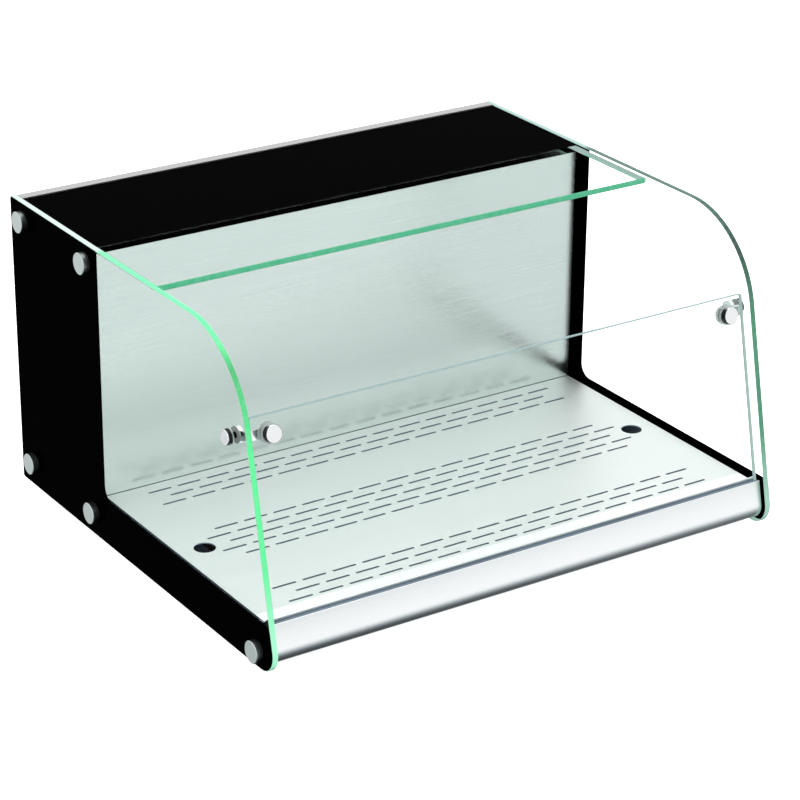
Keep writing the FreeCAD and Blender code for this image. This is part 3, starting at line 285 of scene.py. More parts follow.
# ---- node graphs ----------------------------------------------------------------------------
class Graph:
    """Adds nodes to one tree; an input is given as a socket to join or as a plain value."""

    def __init__(self, tree, owner=None):
        self.tree = tree
        self.owner = owner

    def add(self, kind, values=None, **settings):
        """New node with its inputs fed and its settings set."""
        node = self.tree.nodes.new("ShaderNode" + kind)
        for name, value in settings.items():
            setattr(node, name, value)
        for key, value in (values or {}).items():
            self.feed(node.inputs[key], value)
        return node

    def feed(self, socket, value):
        """Join a socket, or set a plain value."""
        if isinstance(value, bpy.types.NodeSocket):
            self.tree.links.new(value, socket)
        elif socket.type == "RGBA":
            socket.default_value = tuple(value)[:3] + (1.0,)
        else:
            socket.default_value = value

    def maths(self, operation, first, second=0.0):
        """One sum of two values."""
        return self.add("Math", {0: first, 1: second}, operation=operation).outputs[0]

    def times(self, first, second):
        """Product of two values."""
        return self.maths("MULTIPLY", first, second)

    def split(self, vector):
        """A vector's X, Y and Z sockets."""
        return self.add("SeparateXYZ", {0: vector}).outputs

    def noise(self, place, scale, detail, **more):
        """Cloud of values round one half."""
        values = {"Vector": place, "Scale": scale, "Detail": detail, **more}
        return self.add("TexNoise", values).outputs["Fac"]

    def bump(self, height, strength, depth, normal=None):
        """Normal tipped by a height field of the given depth in metres."""
        values = {"Height": height, "Strength": strength, "Distance": depth}
        if normal is not None:
            values["Normal"] = normal
        return self.add("Bump", values).outputs[0]

    def spread(self, value, low, high, to_low=0.0, to_high=1.0):
        """Straight-line map of low..high to to_low..to_high, held at both ends."""
        values = {"Value": value, "From Min": low, "From Max": high,
                  "To Min": to_low, "To Max": to_high}
        return self.add("MapRange", values).outputs["Result"]

    def blend(self, factor, first, second, mode="MIX"):
        """Mix of two colours."""
        node = self.add("Mix", {0: factor, 6: first, 7: second}, data_type="RGBA", blend_type=mode)
        return node.outputs[2]

    def ramp(self, value, stops):
        """Colour ramp through (place, colour) stops."""
        node = self.add("ValToRGB", {"Fac": value})
        marks = node.color_ramp.elements
        while len(marks) < len(stops):
            marks.new(1.0)
        for mark, (position, colour) in zip(marks, stops):
            mark.position = position
            mark.color = tuple(colour)[:3] + (1.0,)
        return node.outputs["Color"]


def scaled(colour, factor):
    """A lighter or darker colour."""
    return [min(1.0, channel * factor) for channel in colour]


def node_group(name, inputs, outputs):
    """Empty shader group with the given sockets: its graph, input node and output node."""
    tree = bpy.data.node_groups.new(name, "ShaderNodeTree")
    for title, kind, value in inputs:
        socket = tree.interface.new_socket(name=title, in_out="INPUT",
                                           socket_type="NodeSocket" + kind)
        if value is not None:
            socket.default_value = value
    for title, kind in outputs:
        tree.interface.new_socket(name=title, in_out="OUTPUT", socket_type="NodeSocket" + kind)
    graph = Graph(tree)
    return graph, tree.nodes.new("NodeGroupInput").outputs, tree.nodes.new("NodeGroupOutput")


def brushing_group():
    """Brushed lines: two noises stretched by Grain (cells per metre along each axis)."""
    graph, given, end = node_group(
        "Brushing", [("Vector", "Vector", None), ("Grain", "Vector", (20.0, 20.0, 1500.0))],
        [("Lines", "Float"), ("Bands", "Float")])
    fine = graph.add("VectorMath", {0: given["Vector"], 1: given["Grain"]},
                     operation="MULTIPLY").outputs[0]
    coarse = graph.add("VectorMath", {0: fine, "Scale": 0.13}, operation="SCALE").outputs[0]
    lines = graph.noise(fine, 1.0, 3.0, Roughness=0.65)
    bands = graph.noise(coarse, 1.0, 2.0)
    graph.feed(end.inputs["Lines"], graph.spread(lines, 0.3, 0.7))
    graph.feed(end.inputs["Bands"], graph.spread(bands, 0.3, 0.7))
    return graph.tree


def handling_group():
    """Wiped smears and finger marks: a distorted cloud, cut to soft patches."""
    graph, given, end = node_group(
        "Handling", [("Vector", "Vector", None), ("Scale", "Float", 9.0), ("Cover", "Float", 0.5)],
        [("Smears", "Float"), ("Dust", "Float")])
    cloud = graph.noise(given["Vector"], given["Scale"], 5.0, Roughness=0.6, Distortion=0.8)
    low = graph.maths("SUBTRACT", 0.75, graph.times(given["Cover"], 0.4))
    graph.feed(end.inputs["Smears"], graph.spread(cloud, low, 0.8))
    specks = graph.noise(given["Vector"], 900.0, 2.0)
    facing = graph.split(graph.add("NewGeometry").outputs["Normal"])["Z"]
    settled = graph.times(graph.spread(specks, 0.62, 0.72), graph.spread(facing, 0.2, 0.9))
    graph.feed(end.inputs["Dust"], graph.times(settled, given["Cover"]))
    return graph.tree


def grain_group():
    """Moulded or sprayed grain: rounded cells with a finer noise over them."""
    graph, given, end = node_group(
        "Surface grain", [("Vector", "Vector", None), ("Scale", "Float", 1200.0)],
        [("Height", "Float"), ("Tone", "Float")])
    cells = graph.add("TexVoronoi", {"Vector": given["Vector"], "Scale": given["Scale"]},
                      feature="SMOOTH_F1")
    fine = graph.times(given["Scale"], 2.7)
    noise = graph.noise(given["Vector"], fine, 2.0)
    half = graph.times(noise, 0.5)
    graph.feed(end.inputs["Height"], graph.maths("ADD", cells.outputs["Distance"], half))
    tone = graph.noise(given["Vector"], 14.0, 4.0)
    graph.feed(end.inputs["Tone"], graph.spread(tone, 0.3, 0.7))
    return graph.tree


def edge_group():
    """Softened edges: the normal rounded over Radius, and a mask where it leaves the flat one."""
    graph, given, end = node_group(
        "Worn edge", [("Radius", "Float", 0.0004)], [("Edge", "Float"), ("Normal", "Vector")])
    soft = graph.add("Bevel", {"Radius": given["Radius"]}, samples=6).outputs["Normal"]
    flat = graph.add("NewGeometry").outputs["Normal"]
    same = graph.add("VectorMath", {0: soft, 1: flat}, operation="DOT_PRODUCT").outputs["Value"]
    graph.feed(end.inputs["Edge"], graph.spread(same, 0.99, 0.75))
    graph.feed(end.inputs["Normal"], soft)
    return graph.tree


GROUP_MAKERS = {"Brushing": brushing_group, "Handling": handling_group,
                "Surface grain": grain_group,
                "Worn edge": edge_group}


def group_in(graph, name, values=None):
    """One of the shared groups, built on first use, placed in a material."""
    tree = bpy.data.node_groups.get(name) or GROUP_MAKERS[name]()
    return graph.add("Group", values, node_tree=tree).outputs


def start_material(name):
    """Empty material: its graph and the object coordinates socket."""
    material = bpy.data.materials.new(name)
    material.use_nodes = True
    material.node_tree.nodes.clear()
    graph = Graph(material.node_tree, material)
    return graph, graph.add("TexCoord").outputs["Object"]


def finish_material(graph, base, roughness, normal=None, values=None):
    """Principled shader with the given inputs, joined to the output; returns the material."""
    inputs = {"Base Color": base, "Roughness": roughness, **(values or {})}
    if normal is not None:
        inputs["Normal"] = normal
    shader = graph.add("BsdfPrincipled", inputs)
    graph.add("OutputMaterial", {"Surface": shader.outputs[0]})
    return graph.owner


def metal(name, colour, roughness, grain, bump=0.15, tint=(1.0, 1.0, 1.0), contrast=0.12,
          metallic=1.0):
    """Brushed or drawn metal: stretched lines, light smears and worn edges."""
    graph, place = start_material(name)
    brush = group_in(graph, "Brushing", {"Vector": place, "Grain": grain})
    marks = group_in(graph, "Handling", {"Vector": place, "Scale": 7.0, "Cover": 0.6})
    worn = group_in(graph, "Worn edge", {"Radius": 0.4 * MM})
    dark = [channel * (1.0 - contrast) * shade for channel, shade in zip(colour, tint)]
    base = graph.blend(brush["Lines"], dark, colour)
    base = graph.blend(graph.times(brush["Bands"], contrast * 2.0), base, dark)
    base = graph.blend(graph.times(worn["Edge"], 0.35), base, scaled(colour, 1.25))
    rough = graph.spread(brush["Lines"], 0.0, 1.0, roughness * 0.8, roughness * 1.2)
    rough = graph.maths("ADD", rough, graph.times(marks["Smears"], 0.06))
    height = graph.maths("ADD", brush["Lines"], graph.times(brush["Bands"], 0.4))
    normal = graph.bump(height, bump, FINE_RELIEF, worn["Normal"])
    return finish_material(graph, base, rough, normal, {"Metallic": metallic})


def deck_steel(colours):
    """Brushed deck sheet; its slot and hole walls are painted dull and dark grey-blue, a painted
    shade for the recesses, and its front hem is painted near-white, part polished hem and part
    painted highlight.
    """
    graph, place = start_material("deck_steel")
    brush = group_in(graph, "Brushing", {"Vector": place, "Grain": (14.0, 1600.0, 400.0)})
    marks = group_in(graph, "Handling", {"Vector": place, "Scale": 7.0, "Cover": 0.6})
    base = graph.blend(brush["Lines"], scaled(colours.deck, 0.94), colours.deck)
    base = graph.blend(graph.times(brush["Bands"], 0.1), base, scaled(colours.deck, 0.9))
    spot = graph.split(place)
    # Painted highlight: a near-white band from the front hem forward, part polished hem and part
    # painted highlight
    hem_highlight_mask = graph.spread(spot["Y"], REAR_Y - HEM_S, REAR_Y - HEM_S - 1.0 * MM)
    base = graph.blend(hem_highlight_mask, base, POLISHED_HEM_HIGHLIGHT)
    # Painted shade: the slot and hole walls below the deck top get a dull grey-blue without metal
    below = graph.spread(spot["Z"], DECK_TOP - 0.05 * MM, DECK_TOP - 0.25 * MM)
    base = graph.blend(below, base, SLOT_WALL_PAINTED_SHADE)
    rough = graph.spread(brush["Lines"], 0.0, 1.0, 0.40, 0.52)
    rough = graph.maths("ADD", rough, graph.times(marks["Smears"], 0.05))
    normal = graph.bump(brush["Lines"], 0.2, FINE_RELIEF)
    bright = graph.spread(below, 0.0, 1.0, 0.85, 0.0)
    return finish_material(graph, base, rough, normal, {"Metallic": bright})


def turned_metal(name, colour, roughness, pitch, bump, turned_away, shade):
    """Lathe-turned metal: fine rings from the piece's own turning map, whose v is the radius.

    Sides whose normal leans past turned_away along X get painted shade: the shade colour is painted
    on them, standing in for the dark side of the room that they reflect."""
    graph, place = start_material(name)
    radius = graph.split(graph.add("UVMap", uv_map="Turning").outputs[0])["Y"]
    turns = graph.maths("DIVIDE", radius, pitch)
    rings = graph.add("TexNoise", {"W": turns, "Scale": 1.0, "Detail": 2.0},
                      noise_dimensions="1D").outputs["Fac"]
    rings = graph.spread(rings, 0.3, 0.7)
    marks = group_in(graph, "Handling", {"Vector": place, "Scale": 60.0, "Cover": 0.6})
    dark = scaled(colour, 0.86)
    base = graph.blend(rings, dark, colour)
    lean = graph.split(graph.add("NewGeometry").outputs["Normal"])["X"]
    # Painted reflection: the shade colour is painted on sides that face along X
    base = graph.blend(graph.spread(graph.maths("ABSOLUTE", lean), *turned_away), base, shade)
    rough = graph.spread(rings, 0.0, 1.0, roughness * 0.8, roughness * 1.2)
    rough = graph.maths("ADD", rough, graph.times(marks["Smears"], 0.05))
    normal = graph.bump(rings, bump, 0.5 * FINE_RELIEF)
    return finish_material(graph, base, rough, normal, {"Metallic": 1.0})


def coated(name, colour, roughness, scale, bump, specular=0.5, wear=0.0, bare=(0.4, 0.4, 0.4),
           dust=0.3):
    """Paint, plastic or rubber: grain, uneven gloss and tone, dust on top, rubbed edges."""
    graph, place = start_material(name)
    grain = group_in(graph, "Surface grain", {"Vector": place, "Scale": scale})
    marks = group_in(graph, "Handling", {"Vector": place, "Scale": 11.0, "Cover": 0.5})
    worn = group_in(graph, "Worn edge", {"Radius": 0.5 * MM})
    base = graph.blend(grain["Tone"], scaled(colour, 0.85), scaled(colour, 1.12))
    base = graph.blend(graph.times(worn["Edge"], wear), base, bare)
    base = graph.blend(graph.times(marks["Dust"], dust), base, SETTLED_DUST)
    rough = graph.spread(grain["Tone"], 0.0, 1.0, roughness * 0.9, roughness * 1.1)
    rough = graph.maths("SUBTRACT", rough, graph.times(marks["Smears"], 0.08))
    normal = graph.bump(grain["Height"], bump, 2.0 * FINE_RELIEF, worn["Normal"])
    return finish_material(graph, base, rough, normal, {"Specular IOR Level": specular})


def clear_glass(colours):
    """Float glass faces: clear, faint smears in the roughness, and lamps pass straight through."""
    graph, place = start_material("float_glass")
    marks = group_in(graph, "Handling", {"Vector": place, "Scale": 6.0, "Cover": 0.4})
    rough = graph.times(marks["Smears"], 0.02)
    tint = graph.blend(marks["Smears"], colours.glass_tint, scaled(colours.glass_tint, 0.995))
    glass = graph.add("BsdfPrincipled", {
        "Base Color": tint, "Roughness": rough, "Transmission Weight": 1.0, "IOR": 1.22})
    path = graph.add("LightPath").outputs
    through = graph.add("BsdfTransparent", {"Color": (0.985, 0.995, 0.99)})
    lamps = graph.maths("MAXIMUM", path["Is Shadow Ray"], path["Is Diffuse Ray"])
    straight = graph.maths("MAXIMUM", lamps, path["Is Camera Ray"])
    straight = graph.maths("MAXIMUM", straight, MIRRORED_CLEAR)
    both = graph.add("MixShader", {0: straight, 1: glass.outputs[0], 2: through.outputs[0]})
    graph.add("OutputMaterial", {"Surface": both.outputs[0]})
    return graph.owner


def glass_edge(name, rear, top, crown, front, nose, painted_glow):
    """Ground edge of float glass, whose green comes from light gathered in the glass; here that
    green is painted light, a colour given out as a glow.

    The painted colour goes by height, lighter or darker as light falls on nose, front, crown and
    top, and another lies over the black border."""
    graph, place = start_material(name)
    spot = graph.split(place)
    height = graph.maths("DIVIDE", spot["Z"], GROUND_GAP + GLASS_HEIGHT)
    colour = graph.ramp(height, [
        (0.0, nose), (0.12, nose), (0.35, front), (0.68, front), (0.9, crown), (0.992, top)])
    border_y = REAR_Y - BORDER_S
    border = graph.spread(spot["Y"], border_y - 6.0 * MM, border_y + 4.0 * MM)
    colour = graph.blend(border, colour, rear)
    frost = graph.noise(place, 240.0, 4.0, Roughness=0.7)
    colour = graph.blend(graph.spread(frost, 0.35, 0.75, 0.0, 0.08), colour, (0.9, 1.0, 0.95))
    grind = group_in(graph, "Brushing", {"Vector": place, "Grain": (2500.0, 40.0, 40.0)})
    normal = graph.bump(grind["Lines"], 0.1, 0.5 * FINE_RELIEF)
    facing = graph.split(graph.add("NewGeometry").outputs["True Normal"])
    sideways = graph.spread(graph.maths("ABSOLUTE", facing["X"]), 0.85, 0.97)
    # Painted glow: where the arris turns to face the sides, it is painted a paler grey-green
    colour = graph.blend(sideways, colour, (0.42, 0.55, 0.52))
    # Painted shade: edges that face down are painted nearly black
    colour = graph.blend(graph.spread(facing["Z"], -0.45, -0.95), colour, (0.01, 0.03, 0.02))
    base = graph.blend(1.0, colour, (0.35, 0.35, 0.35), mode="MULTIPLY")
    rough = graph.spread(frost, 0.3, 0.7, 0.1, 0.3)
    return finish_material(graph, base, rough, normal, {
        "Emission Color": colour, "Emission Strength": painted_glow, "Specular IOR Level": 0.3})


def enamel(colours):
    """Opaque black enamel fired on the glass: nearly without gloss, faint dust and wipe marks."""
    graph, place = start_material("black_enamel")
    marks = group_in(graph, "Handling", {"Vector": place, "Scale": 5.0, "Cover": 0.35})
    base = graph.blend(graph.times(marks["Smears"], 0.4), colours.enamel,
                       scaled(colours.enamel, 1.8))
    base = graph.blend(graph.times(marks["Dust"], 0.02), base, (0.3, 0.3, 0.3))
    rough = graph.spread(marks["Smears"], 0.0, 1.0, 0.16, 0.24)
    orange = graph.noise(place, 180.0, 1.0)
    normal = graph.bump(orange, 0.02, 2.0 * FINE_RELIEF)
    return finish_material(graph, base, rough, normal, {"Specular IOR Level": 0.0005})


def clear_bead(name, colour, roughness):
    """Clear silicone or plastic: see-through with a rippled skin."""
    graph, place = start_material(name)
    ripple = graph.noise(place, 90.0, 3.0)
    normal = graph.bump(ripple, 0.15, 3.0 * FINE_RELIEF)
    base = graph.blend(graph.spread(ripple, 0.3, 0.7), scaled(colour, 0.94), colour)
    rough = graph.spread(ripple, 0.3, 0.7, roughness, roughness * 1.5)
    return finish_material(graph, base, rough, normal, {"Transmission Weight": 0.6, "IOR": 1.3})


def galvanised(colours):
    """Zinc-coated sheet with a faint crystal spangle."""
    graph, place = start_material("galvanised_sheet")
    spangle = graph.add("TexVoronoi", {"Vector": place, "Scale": 110.0, "Randomness": 1.0})
    tone = graph.add("SeparateColor", {0: spangle.outputs["Color"]}).outputs["Red"]
    worn = group_in(graph, "Worn edge", {"Radius": 0.3 * MM})
    marks = group_in(graph, "Handling", {"Vector": place, "Scale": 8.0, "Cover": 0.6})
    base = graph.blend(tone, scaled(colours.zinc, 0.8), colours.zinc)
    rough = graph.maths("ADD", graph.spread(tone, 0.0, 1.0, 0.34, 0.5),
                        graph.times(marks["Smears"], 0.08))
    normal = graph.bump(tone, 0.05, FINE_RELIEF, worn["Normal"])
    return finish_material(graph, base, rough, normal, {"Metallic": 1.0})


def wool(colours):
    """Mineral wool: matted fibres in colour and deep bump."""
    graph, place = start_material("mineral_wool")
    fibres = graph.noise(place, 320.0, 8.0, Roughness=0.75, Distortion=2.5)
    tufts = graph.noise(place, 40.0, 3.0)
    base = graph.blend(graph.spread(fibres, 0.35, 0.65), scaled(colours.wool, 0.6), colours.wool)
    base = graph.blend(graph.spread(tufts, 0.4, 0.7, 0.0, 0.4), base, scaled(colours.wool, 1.3))
    height = graph.maths("ADD", fibres, tufts)
    normal = graph.bump(height, 0.8, 10.0 * FINE_RELIEF)
    return finish_material(graph, base, graph.spread(fibres, 0.3, 0.7, 0.85, 1.0), normal)


def heater_sheath(colours):
    """Heated sheath: brown, straw and blue oxide patches over drawn steel."""
    graph, place = start_material("heater_sheath")
    brush = group_in(graph, "Brushing", {"Vector": place, "Grain": (900.0, 30.0, 900.0)})
    heat = graph.noise(place, 13.0, 3.0)
    tints = graph.ramp(graph.spread(heat, 0.3, 0.7), [
        (0.0, (0.20, 0.19, 0.19)), (0.35, (0.30, 0.22, 0.14)),
        (0.6, (0.24, 0.16, 0.15)), (0.9, (0.13, 0.15, 0.20))])
    base = graph.blend(graph.times(brush["Lines"], 0.3), tints, colours.heater)
    normal = graph.bump(brush["Lines"], 0.1, FINE_RELIEF)
    rough = graph.spread(heat, 0.3, 0.7, 0.35, 0.55)
    return finish_material(graph, base, rough, normal, {"Metallic": 0.9})


def lamp_lens(colours):
    """Translucent lens with moulded flutes inside."""
    graph, place = start_material("lamp_lens")
    flutes = graph.add("TexWave", {"Vector": place, "Scale": 220.0, "Distortion": 0.0},
                       bands_direction="X").outputs["Fac"]
    base = graph.blend(flutes, scaled(colours.lamp, 0.7), colours.lamp)
    normal = graph.bump(flutes, 0.1, 2.0 * FINE_RELIEF)
    rough = graph.spread(flutes, 0.0, 1.0, 0.08, 0.14)
    return finish_material(graph, base, rough, normal, {
        "Transmission Weight": 0.35, "IOR": 1.4, "Emission Color": colours.lamp,
        "Emission Strength": 0.15})


def dial_plate(colours, centre):
    """Satin ring with printed heat marks round the knob.

    A mark shows where the angle is nearly a whole number of steps; every fifth one is longer."""
    graph, place = start_material("dial_plate")
    move = graph.add("Mapping", {"Vector": place, "Location": (-centre[0], 0.0, -centre[2])})
    spot = graph.split(move.outputs[0])
    angle = graph.maths("ARCTAN2", spot["X"], spot["Z"])
    flat = graph.add("CombineXYZ", {"X": spot["X"], "Y": 0.0, "Z": spot["Z"]}).outputs[0]
    radius = graph.add("VectorMath", {0: flat}, operation="LENGTH").outputs["Value"]
    marks = []
    for step, wide, narrow, start in ((9.0, 0.09, 0.05, TICK_R), (45.0, 0.026, 0.016, LONG_TICK_R)):
        turn = graph.maths("DIVIDE", angle, math.radians(step))
        whole = graph.maths("ROUND", turn)
        across = graph.maths("ABSOLUTE", graph.maths("SUBTRACT", turn, whole))
        marks.append(graph.times(graph.spread(across, wide, narrow),
                                 graph.spread(radius, start, start + INK_SOFT)))
    rim = graph.spread(radius, INK_RIM_R + INK_SOFT, INK_RIM_R)
    ink = graph.times(graph.maths("MAXIMUM", *marks), rim)
    brush = group_in(graph, "Brushing", {"Vector": place, "Grain": (60.0, 60.0, 3000.0)})
    plain = graph.blend(brush["Lines"], scaled(colours.dial, 0.88), colours.dial)
    base = graph.blend(ink, plain, PRINTED_INK)
    normal = graph.bump(brush["Lines"], 0.06, FINE_RELIEF)
    rough = graph.spread(brush["Lines"], 0.0, 1.0, 0.3, 0.42)
    return finish_material(graph, base, rough, normal, {
        "Metallic": graph.maths("SUBTRACT", 1.0, ink)})


def dress(names, material):
    """Put one material on CAD nodes."""
    for name in names:
        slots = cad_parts[name].data.materials
        slots.clear()
        slots.append(material)


# ---- settings -------------------------------------------------------------------------------
def colour_property(title, description, default):
    """A colour with the usual limits."""
    return bpy.props.FloatVectorProperty(
        name=title, description=description, subtype="COLOR", size=3, min=0.0, max=1.0,
        default=default)


class CaseColours(bpy.types.PropertyGroup):
    """Colours of the case's finishes."""

    glass_tint: colour_property("Glass tint", "Tint of the clear glass faces",
                                (0.985, 0.998, 0.992))
    enamel: colour_property("Enamel", "Black borders and the black field of the top glass",
                            (0.0004, 0.0004, 0.0005))
    wall: colour_property("Wall steel", "Brushed back wall", (0.66, 0.73, 0.71))
    deck: colour_property("Deck steel", "Perforated deck", (0.82, 0.86, 0.85))
    aluminium: colour_property("Aluminium", "Front profile and rear rail", (0.93, 0.94, 0.95))
    satin: colour_property("Satin steel", "Round caps of the glass fixings", (0.60, 0.66, 0.64))
    polished: colour_property("Polished steel", "Corner connectors", (0.86, 0.87, 0.88))
    tray: colour_property("Tray steel", "Tray, heater strips and blower wheel", (0.50, 0.61, 0.74))
    zinc: colour_property("Zinc", "Galvanised sheet", (0.74, 0.77, 0.77))
    powder: colour_property("Powder coat", "Cheeks and rear panel", (0.018, 0.018, 0.02))
    rubber: colour_property("Rubber", "Seals and feet", (0.025, 0.025, 0.027))
    pane_seal: colour_property("Pane seal", "Channel seal at the foot of the pane",
                               (0.17, 0.22, 0.27))
    plastic: colour_property("Plastic", "Knob, switch and inlet", (0.03, 0.03, 0.032))
    wool: colour_property("Wool", "Mineral wool slabs", (0.50, 0.44, 0.26))
    heater: colour_property("Heater", "Heater sheath", (0.30, 0.29, 0.29))
    lamp: colour_property("Lamp", "Pilot lamp lens", (0.75, 0.14, 0.04))
    reset: colour_property("Reset", "Reset button", (0.55, 0.03, 0.025))
    dial: colour_property("Dial", "Dial ring behind the knob", (0.72, 0.73, 0.74))


class CaseSizes(bpy.types.PropertyGroup):
    """Small sizes that only the looks need."""

    arris: bpy.props.FloatProperty(
        name="Glass arris", description="Radius of the ground glass edges", default=1.1 * MM,
        min=0.2 * MM, max=2.4 * MM, unit="LENGTH")
    cap_round: bpy.props.FloatProperty(
        name="Cap edge", description="Radius round the rim of every cap", default=1.0 * MM,
        min=0.2 * MM, max=2.0 * MM, unit="LENGTH")
    profile_round: bpy.props.FloatProperty(
        name="Profile edge", description="Radius of the extruded profile's corners",
        default=0.6 * MM, min=0.1 * MM, max=1.5 * MM, unit="LENGTH")


class CaseStage(bpy.types.PropertyGroup):
    """Floor, light and camera."""

    floor_size: bpy.props.FloatProperty(
        name="Floor", description="Width of the pale floor", default=16.0, min=2.0, unit="LENGTH")
    camera_place: bpy.props.FloatVectorProperty(
        name="Camera", description="Place of the camera", default=(-1.480, -2.261, 1.326),
        subtype="TRANSLATION")
    camera_heading: bpy.props.FloatProperty(
        name="Heading", description="Turn to the right of straight at the front",
        default=math.radians(33.40), subtype="ANGLE")
    camera_drop: bpy.props.FloatProperty(
        name="Drop", description="Angle below level", default=math.radians(23.97), subtype="ANGLE")
    camera_roll: bpy.props.FloatProperty(
        name="Roll", description="Lean of the camera", default=math.radians(0.54), subtype="ANGLE")
    lens: bpy.props.FloatProperty(name="Lens", description="Focal length in millimetres",
                                  default=127.9, min=20.0)
    sky: bpy.props.FloatProperty(name="Room light", description="Strength of the even light",
                                 default=1.08, min=0.0)
    key: bpy.props.FloatProperty(name="Key light", description="Strength of the main soft lamp",
                                 default=26.0, min=0.0)
    fill: bpy.props.FloatProperty(name="Top light", description="Strength of the overhead lamp",
                                  default=25.0, min=0.0)


# ---- stage ----------------------------------------------------------------------------------
def soft_lamp(name, place, size, strength):
    """Square area lamp at place, turned towards the middle of the case."""
    lamp = bpy.data.lights.new(name, "AREA")
    lamp.shape = "SQUARE"
    lamp.size = size
    lamp.energy = strength
    item = bpy.data.objects.new(name, lamp)
    item.location = place
    item.rotation_euler = (Vector(LAMP_AIM) - Vector(place)).to_track_quat("-Z", "Y").to_euler()
    bpy.context.scene.collection.objects.link(item)


class CASE_OT_stage(bpy.types.Operator):
    """Pale floor, even room light, two soft lamps and the camera"""

    bl_idname = "display_case.stage"
    bl_label = "Stage"

    def execute(self, context):
        settings = context.scene.case_stage
        half = settings.floor_size / 2.0
        mesh = bpy.data.meshes.new("floor")
        corners = [(-half, -half, 0), (half, -half, 0), (half, half, 0), (-half, half, 0)]
        mesh.from_pydata(corners, [], [(0, 1, 2, 3)])
        floor = bpy.data.objects.new("floor", mesh)
        context.scene.collection.objects.link(floor)
        graph, place = start_material("pale_floor")
        cloud = graph.noise(place, 1.5, 3.0)
        base = graph.blend(cloud, (0.93, 0.93, 0.93), (0.96, 0.96, 0.96))
        mesh.materials.append(finish_material(graph, base, 0.9, values={
            "Specular IOR Level": 0.1, "Emission Color": base, "Emission Strength": 0.8}))
        floor.visible_glossy = False
        floor.visible_diffuse = False
        self.light_room(context, settings)
        soft_lamp("key_lamp", *KEY_LAMP, settings.key)
        soft_lamp("top_lamp", *TOP_LAMP, settings.fill)
        self.place_camera(context, settings)
        context.scene.view_settings.view_transform = "Standard"
        return {"FINISHED"}

    def light_room(self, context, settings):
        """Even light, brighter overhead; the backdrop itself shows plain white."""
        world = bpy.data.worlds.new("room")
        world.use_nodes = True
        world.node_tree.nodes.clear()
        graph = Graph(world.node_tree)
        up = graph.split(graph.add("TexCoord").outputs["Generated"])["Z"]
        dome = graph.ramp(graph.spread(up, -1.0, 1.0), [
            (0.0, (0.0, 0.0, 0.0)), (0.04, (0.012, 0.014, 0.016)), (0.11, (0.12, 0.14, 0.145)),
            (0.20, (0.38, 0.42, 0.43)), (0.29, (0.76, 0.80, 0.81)), (0.37, (0.96, 0.98, 0.98)),
            (0.45, (1.0, 1.0, 1.0))])
        room = graph.add("Background", {"Color": dome, "Strength": settings.sky})
        plain = graph.add("Background", {"Color": (1.0, 1.0, 1.0), "Strength": 1.0})
        path = graph.add("LightPath").outputs
        seen = graph.maths("MAXIMUM", path["Is Camera Ray"], path["Is Transmission Ray"])
        both = graph.add("MixShader", {0: seen, 1: room.outputs[0], 2: plain.outputs[0]})
        graph.add("OutputWorld", {"Surface": both.outputs[0]})
        context.scene.world = world

    def place_camera(self, context, settings):
        """Camera from its place, heading, drop and roll."""
        heading, drop, roll = settings.camera_heading, settings.camera_drop, settings.camera_roll
        ahead = Vector((math.sin(heading) * math.cos(drop), math.cos(heading) * math.cos(drop),
                        -math.sin(drop)))
        level = Vector((math.cos(heading), -math.sin(heading), 0.0))
        upward = level.cross(ahead)
        right = level * math.cos(roll) + upward * math.sin(roll)
        up = upward * math.cos(roll) - level * math.sin(roll)
        turn = Matrix((right, up, -ahead)).transposed()
        data = bpy.data.cameras.new("camera")
        data.lens = settings.lens
        data.sensor_width = 36.0
        data.clip_end = 50.0
        item = bpy.data.objects.new("camera", data)
        item.matrix_world = Matrix.Translation(settings.camera_place) @ turn.to_4x4()
        context.scene.collection.objects.link(item)
        context.scene.camera = item


# ---- glass ----------------------------------------------------------------------------------
def glass_materials(context, edge):
    """Clear face and the given edge, shared by sheets of one kind."""
    clear = bpy.data.materials.get("float_glass") or clear_glass(context.scene.case_colours)
    return [clear, edge]


def give(piece, materials):
    """Fill a new piece's material slots."""
    for material in materials:
        piece.data.materials.append(material)


class CASE_OT_side_glasses(bpy.types.Operator):
    """The two side glasses: nose, leaning front and crown, with rounded ground edges"""

    bl_idname = "display_case.side_glasses"
    bl_label = "Side glasses"

    def execute(self, context):
        thickness = GLASS_X[1] - GLASS_X[0]
        arris_r = context.scene.case_sizes.arris
        # Painted light and shade: the left edge is painted a lit, bright green and the right edge a
        # shaded, deep green, though both sheets are the same glass
        lit_left_edge = glass_edge(
            "glass_edge_left_painted_lit", rear=(0.56, 0.74, 0.66), top=(0.12, 0.95, 0.36),
            crown=(0.05, 0.42, 0.14), front=(0.09, 0.78, 0.28), nose=(0.34, 0.84, 0.56), painted_glow=0.8)
        shaded_right_edge = glass_edge(
            "glass_edge_right_painted_shade", rear=(0.36, 0.56, 0.52), top=(0.03, 0.12, 0.08),
            crown=(0.01, 0.05, 0.035), front=(0.05, 0.25, 0.14), nose=(0.34, 0.60, 0.48), painted_glow=0.7)
        for side, name, edge in ((1.0, "right", shaded_right_edge), (-1.0, "left", lit_left_edge)):
            def place(ring, depth, side=side):
                return in_frame(side * (GLASS_X[0] + depth), ring[:, 0], ring[:, 1])

            piece = plate(name + "_side_sheet", glass_outline, thickness, arris_r, place,
                          ["side_glass_" + name])
            give(piece, glass_materials(context, edge))
        return {"FINISHED"}


